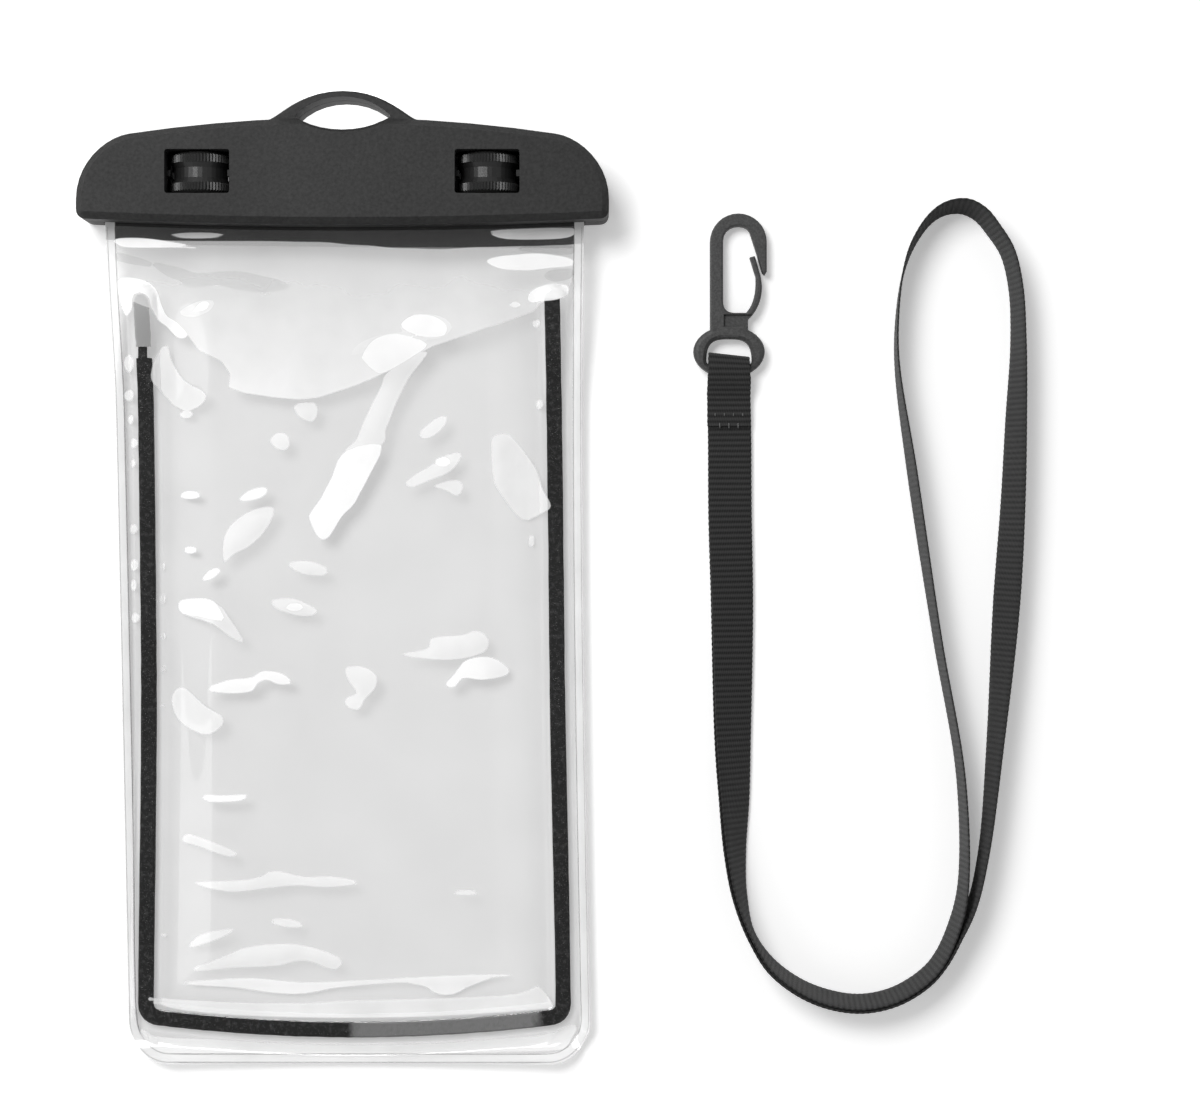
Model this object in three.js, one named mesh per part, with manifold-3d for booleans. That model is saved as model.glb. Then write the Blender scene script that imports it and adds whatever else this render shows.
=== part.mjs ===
// A waterproof phone pouch: a clear welded bag held by a two-part clamp with two thumb
// rollers, and its own neck lanyard lying unclipped beside it.
// Millimetres. X runs along the clamp, Y from the bag's foot to the eyelet, and Z up from
// the surface that the pouch lies on. The origin is under the middle of the pouch.

import * as THREE from 'three';
import { mergeVertices } from 'three/addons/utils/BufferGeometryUtils.js';
import Module from 'manifold-3d';

const wasm = await Module();
wasm.setup();

// Clearances shared by all the pieces
const FIT_GAP = 0.3;
const FLOOR_GAP = 0.05;
const OVERRUN = 1;
// Height of a curve's two middle pulls for a curve that rises by one
const CURVE_PULL = 4 / 3;

// The whole pouch
const POUCH_LENGTH = 221;

// Clamp
const CLAMP_WIDTH = 120;
const CLAMP_HEIGHT = 24.05;
const CLAMP_DEPTH = 15;
const CLAMP_WALL = 1.8;
const CLAMP_CHAMFER = 1.5;
const CLAMP_CORNER = 2.4;
const FOOT_CROWN = 1.3;
const TOP_CROWN = 3.6;
const SIDE_HEIGHT = 5.7;
const SHOULDER_RUN = 12;
const SHOULDER_LEAD = 5.6;
const SHOULDER_HOLD = 8;

// Eyelet on top of the clamp
const EYELET_RISE = 6.15;
const EYELET_HALF_WIDTH = 17;
const EYELET_DEPTH = 11.6;
const EYELET_CHAMFER = 0.5;
const EYELET_BAND = 1.35;
const EYELET_HOLD = 0.86;
const EYELET_LEAD = 0.59;
const EYELET_SKIRT = 2;
const EYE_HALF_WIDTH = 10.9;
const EYE_TIP_DROP = 5.8;
const EYE_HEIGHT = 7.6;
const EYE_FULLNESS = 0.5;
const EYE_FLARE = 0.6;
const EYE_COLLAR = 1.5;

// Jaws that pinch the bag's mouth
const JAW_DEPTH = 5.4;
const GASKET_OFFSET = 3.3;
const GASKET_WIDTH = 2;
const GASKET_HEIGHT = 2.4;

// Thumb rollers, their windows and their bearings
const ROLLER_INSET = 27.4;
const ROLLER_RISE = 11.85;
const ROLLER_RADIUS = 7;
const ROLLER_LENGTH = 9.2;
const ROLLER_CHAMFER = 0.7;
const KNURL_BAND = 2.3;
const KNURL_HEIGHT = 0.3;
const KNURL_RIDGES = 58;
const WAIST_RADIUS = 6.1;
const WAIST_LENGTH = 2.3;
const AXLE_RADIUS = 1.5;
const AXLE_GAP = 0.2;
const AXLE_MOUTH = 2.4;
const WINDOW_CORNER = 0.7;
const REAR_WINDOW_WIDTH = 11;
const COLLAR_WALL = 0.9;
const EAR_WALL = 1.2;
const EAR_HALF_WIDTH = 3;
const EAR_LIP = 2.1;
const COLLAR_DROP = 5;
const TONGUE_THICKNESS = 1.2;
const TONGUE_WIDTH = 1.4;
const TONGUE_REACH = 2;
const TONGUE_ROOT = 2;

// Locating pegs between the halves
const PEG_INSET = 10;
const PEG_RISE = 13.7;
const PEG_RADIUS = 1.6;
const PEG_REACH = 3.2;
const BOSS_WALL = 1.3;

// Bag films
const FILM = 0.4;
const BAG_INSET = 5.65;
const BAG_TAPER = 1.2;
const BAG_DRIFT = 3;
const BAG_LEAN = 1.4;
const BAG_CORNER = 10;
const BAG_LANDING = 42;
const POCKET_HEIGHT = 3.6;
const POCKET_RUN = 12;
const POCKET_TAPER = 30;
const WELD_BAND = 1.9;
const FILM_ROW = 6.8;

// Coloured strip sealed in the bag's seam
const STRIP_WIDTH = 3.6;
const STRIP_THICKNESS = 1.6;
const STRIP_INSET = 6.35;
const STRIP_FLARE = 1.1;
const STRIP_DRIFT = 1.7;
const STRIP_START = 16;
const STRIP_LEFT_DROP = 13.4;
const STRIP_FOOT = 10.6;
const STRIP_BOW = 3;
const STRIP_CORNER = 3;
const CHANNEL_ROOM = 0.5;
const CHANNEL_SLOPE = 1.1;

// Lanyard tape
const TAPE_WIDTH = 10;
const TAPE_THICKNESS = 0.5;
const TAPE_PINCH = 0.25;
const FLAP_LENGTH = 12.5;
const FLAP_LANDING = 0.55;
const FLAP_SLOPE = 0.5;
const ROUTE_STEPS = 6;

// Snap hook
const HOOK_X = 87.5;
const HOOK_Y = 52.4;
const HOOK_THICKNESS = 3;
const HOOK_ROUNDING = 0.45;
const HOOK_HALF_WIDTH = 6.5;
const HOOK_REACH = 31.7;
const SHANK_FOOT = 3.2;
const SHANK_RIGHT = 4.35;
const SHANK_TOP = 8.9;
const SHANK_RECESS = 0.8;
const SPINE_WIDTH = 3;
const SLOT_CORNER = 2.6;
const ARCH_BAND = 2.2;
const ARCH_LEAD = 1.6;
const NOSE_INNER = 4.7;
const NOSE_RISE = 2.4;
const NOSE_TIP = 18.1;
const NOSE_CHAMFER = 0.5;
const RING_HALF_WIDTH = 8.2;
const RING_HALF_HEIGHT = 5.95;
const RING_SECTION = 3.1;
const RING_ROUNDING = 1.1;
const RING_SIDES = 36;
const RING_CORNER = 1;
const RING_FLARE = 0.8;
const GATE_THICKNESS = 1.15;
const GATE_GAP = 0.6;
const GATE_ROOT = 7.4;
const GATE_BELLY = 7.55;
const GATE_BELLY_RISE = 15;
const GATE_BEND = 7.25;
const GATE_BEND_RISE = 17.2;
const GATE_TIP = 5.9;
const GATE_TIP_RISE = 21.9;
const GATE_TIP_SLOPE = 0.3;
const GATE_LEAD = 2.8;

// Places that follow from the sizes above
const eyeletTop = POUCH_LENGTH / 2;
const bagFoot = -POUCH_LENGTH / 2;
const clampTop = eyeletTop - EYELET_RISE;
const clampFoot = clampTop - CLAMP_HEIGHT;
const halfDepth = (CLAMP_DEPTH - FIT_GAP) / 2;
const mouthLow = halfDepth - FILM;
const jawTop = mouthLow - FIT_GAP;
const jawBack = clampFoot + JAW_DEPTH;
const mouthEnd = jawBack - FIT_GAP;
const rollerY = clampFoot + ROLLER_RISE;
const rollerZ = CLAMP_DEPTH / 2;
const windowWidth = 2 * (ROLLER_RADIUS + FIT_GAP);
const windowHeight = ROLLER_LENGTH + 2 * (FIT_GAP + FLOOR_GAP);
const earTop = rollerZ + EAR_LIP;
const eyeTipY = eyeletTop - EYE_TIP_DROP;
const eyeTop = eyeletTop - EYELET_BAND;
const rollerX = CLAMP_WIDTH / 2 - ROLLER_INSET;
const rollerSides = [['left', -rollerX], ['right', rollerX]];
const pegX = CLAMP_WIDTH / 2 - PEG_INSET;
const mouthHalf = CLAMP_WIDTH / 2 - BAG_INSET;
const footHalf = mouthHalf - BAG_TAPER;
const stripSpan = footHalf - STRIP_INSET;
const stripTop = clampFoot - STRIP_START;

// Materials
function material(color, roughness, metalness = 0) {
  return new THREE.MeshStandardMaterial({ color, roughness, metalness });
}

const clampPlastic = material(0x434344, 0.62);
const rollerPlastic = material(0x2b2b2c, 0.5);
const clearFilm = new THREE.MeshStandardMaterial({
  color: 0xe6e6e7, roughness: 0.12, metalness: 0, transparent: true, opacity: 0.3,
});
const gasketRubber = material(0x8d8f90, 0.7);
const stripRubber = material(0x252526, 0.8);
const tapeWeave = material(0x2a2a2b, 0.9);
const hookPlastic = material(0x4a4a4b, 0.5);

// Solids and geometry
function toSolid(geometry) {
  const bare = geometry.clone();
  bare.deleteAttribute('normal');
  bare.deleteAttribute('uv');
  const merged = mergeVertices(bare);
  const mesh = new wasm.Mesh({
    numProp: 3,
    vertProperties: Float32Array.from(merged.attributes.position.array),
    triVerts: Uint32Array.from(merged.index.array),
  });
  return new wasm.Manifold(mesh);
}

function toGeometry(solid) {
  const mesh = solid.getMesh();
  const geometry = new THREE.BufferGeometry();
  geometry.setAttribute('position', new THREE.BufferAttribute(mesh.vertProperties, 3));
  geometry.setIndex(new THREE.BufferAttribute(mesh.triVerts, 1));
  geometry.computeVertexNormals();
  return geometry;
}

function joined(solids) {
  return solids.reduce((sum, solid) => sum.add(solid));
}

function cutBy(solid, cutters) {
  return cutters.reduce((rest, cutter) => rest.subtract(cutter), solid);
}

// Mirrored geometry with its faces turned outwards again
function turnedInsideOut(geometry) {
  const plain = geometry.index ? geometry.toNonIndexed() : geometry;
  const place = plain.attributes.position;
  const corner = [new THREE.Vector3(), new THREE.Vector3()];
  for (let i = 0; i < place.count; i += 3) {
    corner[0].fromBufferAttribute(place, i + 1);
    corner[1].fromBufferAttribute(place, i + 2);
    place.setXYZ(i + 1, ...corner[1].toArray());
    place.setXYZ(i + 2, ...corner[0].toArray());
  }
  return plain;
}

// A flat shape made solid between two heights, with its long edges chamfered or rounded
function slab(shape, low, high, chamfer = 0, chamferSteps = 1, curveSegments = 10) {
  const geometry = new THREE.ExtrudeGeometry(shape, {
    depth: high - low - 2 * chamfer,
    bevelEnabled: chamfer > 0,
    bevelThickness: chamfer,
    bevelSize: chamfer,
    bevelOffset: -chamfer,
    bevelSegments: chamferSteps,
    curveSegments,
  });
  return geometry.translate(0, 0, low + chamfer);
}

// The widening mouth of a hole at a face that looks up or down
function flare(shape, faceZ, size, upwards) {
  const geometry = new THREE.ExtrudeGeometry(shape, {
    depth: OVERRUN, bevelThickness: size, bevelSize: size, bevelSegments: 1, curveSegments: 10,
  });
  if (!upwards) geometry.scale(1, 1, -1);
  const solid = toSolid(upwards ? geometry : turnedInsideOut(geometry));
  return solid.translate(0, 0, faceZ);
}

// A shape drawn in X and Z, made solid between two places along Y
function plateAcross(shape, lowY, highY) {
  const geometry = new THREE.ExtrudeGeometry(shape, {
    depth: highY - lowY, bevelEnabled: false, curveSegments: 16,
  });
  return geometry.rotateX(Math.PI / 2).translate(0, highY, 0);
}

function block(x, y, z) {
  const geometry = new THREE.BoxGeometry(x[1] - x[0], y[1] - y[0], z[1] - z[0]);
  return geometry.translate((x[0] + x[1]) / 2, (y[0] + y[1]) / 2, (z[0] + z[1]) / 2);
}

function post(x, y, radius, z) {
  const geometry = new THREE.CylinderGeometry(radius, radius, z[1] - z[0], 20);
  return geometry.rotateX(Math.PI / 2).translate(x, y, (z[0] + z[1]) / 2);
}

function roundedRectangle(x, y, width, height, corner) {
  const right = width / 2;
  const top = height / 2;
  const shape = new THREE.Shape();
  shape.moveTo(x - right + corner, y - top);
  shape.lineTo(x + right - corner, y - top);
  shape.quadraticCurveTo(x + right, y - top, x + right, y - top + corner);
  shape.lineTo(x + right, y + top - corner);
  shape.quadraticCurveTo(x + right, y + top, x + right - corner, y + top);
  shape.lineTo(x - right + corner, y + top);
  shape.quadraticCurveTo(x - right, y + top, x - right, y + top - corner);
  shape.lineTo(x - right, y - top + corner);
  shape.quadraticCurveTo(x - right, y - top, x - right + corner, y - top);
  return shape;
}

// Builds a closed body from vertices and quads, with its faces turned outwards
function closedBody(vertices, quads, caps = []) {
  const triangles = quads.flatMap(([a, b, c, d]) => [a, b, c, a, c, d]).concat(caps);
  const point = (index) => vertices[index];
  let volume = 0;
  for (let i = 0; i < triangles.length; i += 3) {
    const cross = new THREE.Vector3().crossVectors(point(triangles[i + 1]), point(triangles[i + 2]));
    volume += point(triangles[i]).dot(cross);
  }
  const index = volume < 0 ? triangles.reverse() : triangles;
  const geometry = new THREE.BufferGeometry().setFromPoints(vertices);
  geometry.setIndex(index);
  geometry.computeVertexNormals();
  return geometry;
}

// A body through a row of sections, each a ring of as many points, closed at both ends.
// The second half of a ring is split the other way, so a twisted strip keeps its thickness.
function loft(rings) {
  const size = rings[0].length;
  const quads = [];
  for (let i = 0; i + 1 < rings.length; i += 1) {
    for (let j = 0; j < size; j += 1) {
      const next = (j + 1) % size;
      const quad = [i * size + j, i * size + next, (i + 1) * size + next, (i + 1) * size + j];
      if (j >= size / 2) quad.push(quad.shift());
      quads.push(quad);
    }
  }
  const caps = [];
  const last = (rings.length - 1) * size;
  for (let j = 1; j + 1 < size; j += 1) {
    caps.push(0, j + 1, j, last, last + j, last + j + 1);
  }
  return closedBody(rings.flat(), quads, caps);
}

// A sheet of even thickness standing on a grid of points
function sheet(grid, thickness) {
  const rows = grid.length;
  const columns = grid[0].length;
  const lower = grid.flat();
  const upper = lower.map((point) => point.clone().setZ(point.z + thickness));
  const at = (row, column) => row * columns + column;
  const count = rows * columns;
  const quads = [];
  for (let i = 0; i + 1 < rows; i += 1) {
    for (let j = 0; j + 1 < columns; j += 1) {
      const corners = [at(i, j), at(i + 1, j), at(i + 1, j + 1), at(i, j + 1)];
      quads.push(corners.map((corner) => corner + count));
      quads.push(corners.reverse());
    }
  }
  const edge = [];
  for (let j = 0; j < columns - 1; j += 1) edge.push(at(0, j));
  for (let i = 0; i < rows - 1; i += 1) edge.push(at(i, columns - 1));
  for (let j = columns - 1; j > 0; j -= 1) edge.push(at(rows - 1, j));
  for (let i = rows - 1; i > 0; i -= 1) edge.push(at(i, 0));
  edge.forEach((from, step) => {
    const to = edge[(step + 1) % edge.length];
    quads.push([from, from + count, to + count, to]);
  });
  return closedBody([...lower, ...upper], quads);
}

function smooth(value) {
  const t = THREE.MathUtils.clamp(value, 0, 1);
  return t * t * (3 - 2 * t);
}

// Clamp outline, drawn smaller all round by an inset
function clampOutline(inset) {
  const half = CLAMP_WIDTH / 2 - inset;
  const corner = Math.max(CLAMP_CORNER - inset, FIT_GAP);
  const footSide = clampFoot + inset + FOOT_CROWN;
  const sideTop = clampFoot + SIDE_HEIGHT;
  const crownEnd = half - SHOULDER_RUN;
  const crownSide = clampTop - inset - TOP_CROWN;
  const leadDrop = SHOULDER_LEAD * (2 * TOP_CROWN) / crownEnd;
  const shape = new THREE.Shape();
  shape.moveTo(corner - half, footSide);
  shape.quadraticCurveTo(0, footSide - 2 * FOOT_CROWN, half - corner, footSide);
  shape.quadraticCurveTo(half, footSide, half, footSide + corner);
  shape.lineTo(half, sideTop);
  shape.bezierCurveTo(
    half, sideTop + SHOULDER_HOLD,
    crownEnd + SHOULDER_LEAD, crownSide - leadDrop,
    crownEnd, crownSide,
  );
  shape.quadraticCurveTo(0, crownSide + 2 * TOP_CROWN, -crownEnd, crownSide);
  shape.bezierCurveTo(
    -crownEnd - SHOULDER_LEAD, crownSide - leadDrop,
    -half, sideTop + SHOULDER_HOLD,
    -half, sideTop,
  );
  shape.lineTo(-half, footSide + corner);
  shape.quadraticCurveTo(-half, footSide, corner - half, footSide);
  return shape;
}

// Eyelet arch, from its root inside the clamp to its crown
function eyeletOutline() {
  const half = EYELET_HALF_WIDTH;
  const root = eyeTop - EYE_HEIGHT - EYE_COLLAR;
  const shoulder = clampTop - TOP_CROWN * (half / (CLAMP_WIDTH / 2 - SHOULDER_RUN)) ** 2;
  const skirt = half + EYELET_SKIRT;
  const skirtTop = shoulder - EYELET_SKIRT / 2;
  const hold = half * EYELET_HOLD;
  const lead = half * EYELET_LEAD;
  const shape = new THREE.Shape();
  shape.moveTo(-skirt, root);
  shape.lineTo(skirt, root);
  shape.lineTo(skirt, skirtTop);
  shape.lineTo(half, shoulder);
  shape.bezierCurveTo(hold, shoulder + FIT_GAP, lead, eyeletTop, 0, eyeletTop);
  shape.bezierCurveTo(-lead, eyeletTop, -hold, shoulder + FIT_GAP, -half, shoulder);
  shape.lineTo(-skirt, skirtTop);
  return shape;
}

// Lens-shaped hole of the eyelet, grown all round by a margin
function eyeOutline(margin) {
  const tip = EYE_HALF_WIDTH + margin * Math.SQRT2;
  const lead = tip * EYE_FULLNESS;
  const top = eyeTipY + (eyeTop + margin - eyeTipY) * CURVE_PULL;
  const bottom = eyeTipY + (eyeTop - EYE_HEIGHT - margin - eyeTipY) * CURVE_PULL;
  const shape = new THREE.Shape();
  shape.moveTo(-tip, eyeTipY);
  shape.bezierCurveTo(-lead, bottom, lead, bottom, tip, eyeTipY);
  shape.bezierCurveTo(lead, top, -lead, top, -tip, eyeTipY);
  return shape;
}

// Heights between two depths measured inwards from the outer face of one clamp half
function layer(front, from, to) {
  return front ? [CLAMP_DEPTH - to, CLAMP_DEPTH - from] : [from, to];
}

function clampSolid() {
  const eyeletLow = (CLAMP_DEPTH - EYELET_DEPTH) / 2;
  const eyeletHigh = eyeletLow + EYELET_DEPTH;
  const body = toSolid(slab(clampOutline(0), 0, CLAMP_DEPTH, CLAMP_CHAMFER));
  const eyelet = toSolid(slab(eyeletOutline(), eyeletLow, eyeletHigh, EYELET_CHAMFER, 2));
  return body.add(eyelet);
}

// What both halves have: wall, jaw with its gasket groove, window collars and eyelet
function clampHalf(front) {
  const wide = [-CLAMP_WIDTH, CLAMP_WIDTH];
  const tall = [clampFoot - OVERRUN, eyeletTop + OVERRUN];
  const outer = clampSolid().intersect(toSolid(block(wide, tall, layer(front, -OVERRUN, halfDepth))));
  const innerLayer = layer(front, CLAMP_WALL, halfDepth + OVERRUN);
  const hollow = toSolid(slab(clampOutline(CLAMP_WALL), ...innerLayer));
  const jaw = toSolid(block(wide, [clampFoot - OVERRUN, jawBack], layer(front, OVERRUN, jawTop)));
  const eyeCollar = toSolid(slab(eyeOutline(EYE_COLLAR), ...layer(front, OVERRUN, halfDepth)));
  const collarDepth = front ? CLAMP_DEPTH - earTop - FIT_GAP - FLOOR_GAP : COLLAR_DROP;
  const collars = rollerSides.map(([, x]) => toSolid(slab(
    roundedRectangle(x, rollerY, windowWidth + 2 * COLLAR_WALL, windowHeight + 2 * EAR_WALL, WINDOW_CORNER),
    ...layer(front, OVERRUN, collarDepth),
  )));
  const added = joined([jaw, eyeCollar, ...collars]).intersect(outer);
  const windows = rollerSides.map(([, x]) => toSolid(slab(
    roundedRectangle(x, rollerY, windowWidth, windowHeight, WINDOW_CORNER),
    ...layer(front, front ? -OVERRUN : CLAMP_WALL, halfDepth + OVERRUN), 0, 1, 4,
  )));
  const mouthWidth = front ? windowWidth : REAR_WINDOW_WIDTH;
  const mouths = rollerSides.map(([, x]) => toSolid(slab(
    roundedRectangle(x, rollerY, mouthWidth, windowHeight, WINDOW_CORNER),
    ...layer(front, -OVERRUN, CLAMP_WALL + OVERRUN), 0, 1, 4,
  )));
  const filmHalf = mouthHalf + FIT_GAP;
  const filmSlot = toSolid(block(
    [-filmHalf, filmHalf], [clampFoot - OVERRUN, jawBack],
    layer(front, jawTop, halfDepth + OVERRUN),
  ));
  const grooveLow = clampFoot + GASKET_OFFSET - GASKET_WIDTH / 2 - FIT_GAP;
  const grooveHigh = grooveLow + GASKET_WIDTH + 2 * FIT_GAP;
  const groove = toSolid(block(
    [-filmHalf, filmHalf], [grooveLow, grooveHigh],
    layer(front, jawTop - GASKET_HEIGHT - FIT_GAP, jawTop + OVERRUN),
  ));
  const eye = toSolid(slab(eyeOutline(0), ...layer(front, -OVERRUN, halfDepth + OVERRUN)));
  const eyeFlare = flare(eyeOutline(0), front ? CLAMP_DEPTH : 0, EYE_FLARE, front);
  const cuts = [...windows, ...mouths, filmSlot, groove, eye, eyeFlare];
  return cutBy(outer.subtract(hollow).add(added), cuts);
}

// Snap-in bearing ear for one end of a roller's axle
function bearingEar(x, lowY) {
  const hole = AXLE_RADIUS + AXLE_GAP;
  const mouth = AXLE_MOUTH / 2;
  const open = Math.acos(mouth / hole);
  const shape = new THREE.Shape();
  shape.moveTo(-EAR_HALF_WIDTH, OVERRUN);
  shape.lineTo(EAR_HALF_WIDTH, OVERRUN);
  shape.lineTo(EAR_HALF_WIDTH, earTop);
  shape.lineTo(mouth, earTop);
  shape.absarc(0, rollerZ, hole, open, Math.PI - open, true);
  shape.lineTo(-mouth, earTop);
  shape.lineTo(-EAR_HALF_WIDTH, earTop);
  return toSolid(plateAcross(shape, lowY, lowY + EAR_WALL).translate(x, 0, 0));
}

function headerRearShell() {
  const pegY = clampFoot + PEG_RISE;
  const extras = [];
  for (const [, x] of rollerSides) {
    extras.push(bearingEar(x, rollerY + windowHeight / 2));
    extras.push(bearingEar(x, rollerY - windowHeight / 2 - EAR_WALL));
  }
  for (const x of [-pegX, pegX]) {
    extras.push(toSolid(post(x, pegY, PEG_RADIUS + BOSS_WALL, [OVERRUN, halfDepth])));
    extras.push(toSolid(post(x, pegY, PEG_RADIUS, [OVERRUN, halfDepth + PEG_REACH])));
  }
  return joined([clampHalf(false), ...extras]);
}

// Latch tongue beside a roller's waist, hanging from the window collar
function latchTongue(x, side) {
  const inner = WAIST_RADIUS + FIT_GAP + FLOOR_GAP;
  const collarSide = windowWidth / 2 + COLLAR_WALL / 2;
  const y = [rollerY - TONGUE_WIDTH / 2, rollerY + TONGUE_WIDTH / 2];
  const along = (from, to) => [x + side * from, x + side * to].sort((a, b) => a - b);
  const top = earTop + TONGUE_ROOT;
  const blade = block(along(inner, inner + TONGUE_THICKNESS), y, [rollerZ - TONGUE_REACH, top]);
  const root = block(along(inner, collarSide), y, [earTop + FIT_GAP * 2, top]);
  return toSolid(blade).add(toSolid(root));
}

function headerFrontShell() {
  const pegY = clampFoot + PEG_RISE;
  const extras = [];
  const sockets = [];
  for (const [, x] of rollerSides) {
    extras.push(latchTongue(x, -1));
    extras.push(latchTongue(x, 1));
  }
  for (const x of [-pegX, pegX]) {
    const bossRadius = PEG_RADIUS + FIT_GAP + BOSS_WALL;
    extras.push(toSolid(post(x, pegY, bossRadius, layer(true, OVERRUN, halfDepth))));
    sockets.push(toSolid(post(
      x, pegY, PEG_RADIUS + FIT_GAP,
      [CLAMP_DEPTH - halfDepth - OVERRUN, halfDepth + PEG_REACH + FIT_GAP],
    )));
  }
  return cutBy(joined([clampHalf(true), ...extras]), sockets);
}

// Thumb roller: two knurled bands, a plain waist and stub axles, all turned about Y
function roller() {
  const end = ROLLER_LENGTH / 2;
  const axleEnd = end + FIT_GAP + EAR_WALL;
  const root = ROLLER_RADIUS - KNURL_HEIGHT;
  const bandStart = end - KNURL_BAND;
  const profile = [
    [0, axleEnd], [AXLE_RADIUS, axleEnd], [AXLE_RADIUS, end],
    [root - ROLLER_CHAMFER, end], [root, end - ROLLER_CHAMFER],
    [root, bandStart], [WAIST_RADIUS, WAIST_LENGTH / 2],
  ];
  const lower = profile.map(([r, y]) => [r, -y]);
  const points = [...lower, ...profile.reverse()].map(([r, y]) => new THREE.Vector2(r, y));
  const core = toSolid(new THREE.LatheGeometry(points, 36));
  const ridges = [];
  for (let i = 0; i < KNURL_RIDGES * 2; i += 1) {
    const angle = (i * Math.PI) / KNURL_RIDGES;
    const radius = i % 2 === 0 ? ROLLER_RADIUS : root;
    ridges.push(new THREE.Vector2(radius * Math.cos(angle), radius * Math.sin(angle)));
  }
  const band = plateAcross(new THREE.Shape(ridges), bandStart, end);
  const crown = new THREE.LatheGeometry([
    new THREE.Vector2(0, -end),
    new THREE.Vector2(ROLLER_RADIUS - ROLLER_CHAMFER, -end),
    new THREE.Vector2(ROLLER_RADIUS + KNURL_HEIGHT, KNURL_HEIGHT + ROLLER_CHAMFER - end),
    new THREE.Vector2(ROLLER_RADIUS + KNURL_HEIGHT, end - ROLLER_CHAMFER - KNURL_HEIGHT),
    new THREE.Vector2(ROLLER_RADIUS - ROLLER_CHAMFER, end),
    new THREE.Vector2(0, end),
  ], 36);
  const bands = toSolid(band).add(toSolid(band.clone().translate(0, -end - bandStart, 0)));
  return core.add(bands.intersect(toSolid(crown)));
}

// Sealing gasket in one jaw, with a rounded nose towards the film
function gasket(front) {
  const low = jawTop - GASKET_HEIGHT;
  const half = GASKET_WIDTH / 2;
  const shape = new THREE.Shape();
  shape.moveTo(-half, low);
  shape.lineTo(half, low);
  shape.lineTo(half, jawTop - half);
  shape.absarc(0, jawTop - half, half, 0, Math.PI, false);
  const geometry = new THREE.ExtrudeGeometry(shape, {
    depth: 2 * mouthHalf, bevelEnabled: false, curveSegments: 6,
  });
  geometry.rotateX(Math.PI / 2).rotateZ(Math.PI / 2);
  geometry.translate(-mouthHalf, clampFoot + GASKET_OFFSET, 0);
  if (front) {
    geometry.rotateX(Math.PI).translate(0, 2 * (clampFoot + GASKET_OFFSET), CLAMP_DEPTH);
  }
  return geometry;
}

// Bag outline: how far down the bag a place is, its middle line and its half width
function downBag(y) {
  return THREE.MathUtils.clamp((clampFoot - y) / (clampFoot - bagFoot), 0, 1);
}

function bagMiddle(y) {
  return BAG_DRIFT * downBag(y) ** BAG_LEAN;
}

function bagHalf(y) {
  return footHalf + (mouthHalf - footHalf) * (1 - downBag(y)) ** 3;
}

function cornerShare(y) {
  const depth = Math.min(Math.max(y - bagFoot, 0), BAG_CORNER);
  const sink = BAG_CORNER - Math.sqrt(BAG_CORNER ** 2 - (BAG_CORNER - depth) ** 2);
  return 1 - sink / bagHalf(y);
}

// Height of the back film's underside, from the jaws down to the surface it lies on
function backHeight(y) {
  return mouthLow * smooth((y - (clampFoot - BAG_LANDING)) / BAG_LANDING);
}

// Route of the coloured strip: its middle line, half span and bowed foot
function stripMiddle(y) {
  const rise = THREE.MathUtils.clamp(downBag(y), 0, 1);
  return STRIP_DRIFT * (1 - (1 - rise) ** 2);
}

function stripHalf(y) {
  return stripSpan + STRIP_FLARE * smooth((downBag(y) - 0.5) * 2);
}

function stripFoot(x) {
  const across = THREE.MathUtils.clamp((x - STRIP_DRIFT) / stripSpan, -1, 1);
  return bagFoot + STRIP_FOOT - STRIP_BOW * (1 - across ** 2);
}

// Distance from the strip's middle line, positive towards the bag's edge
function beyondStrip(x, y) {
  return Math.max(Math.abs(x - stripMiddle(y)) - stripHalf(y), stripFoot(x) - y);
}

// How far the front film stands above the back film
function frontRise(x, y) {
  const touching = FILM + FIT_GAP;
  const distance = beyondStrip(x, y);
  const channelHalf = STRIP_WIDTH / 2 + CHANNEL_ROOM;
  const channelHeight = STRIP_THICKNESS + FIT_GAP;
  const channelEnd = smooth((stripTop + channelHalf + CHANNEL_SLOPE - y) / CHANNEL_SLOPE);
  const channel = channelEnd * smooth(1 - (Math.abs(distance) - channelHalf) / CHANNEL_SLOPE);
  const weld = channelHalf + CHANNEL_SLOPE + WELD_BAND;
  const pocket = smooth((-distance - weld) / POCKET_RUN) * smooth((clampFoot - y) / POCKET_TAPER);
  const room = POCKET_HEIGHT - FIT_GAP;
  return touching + Math.max(channel * channelHeight, pocket * room);
}

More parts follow.
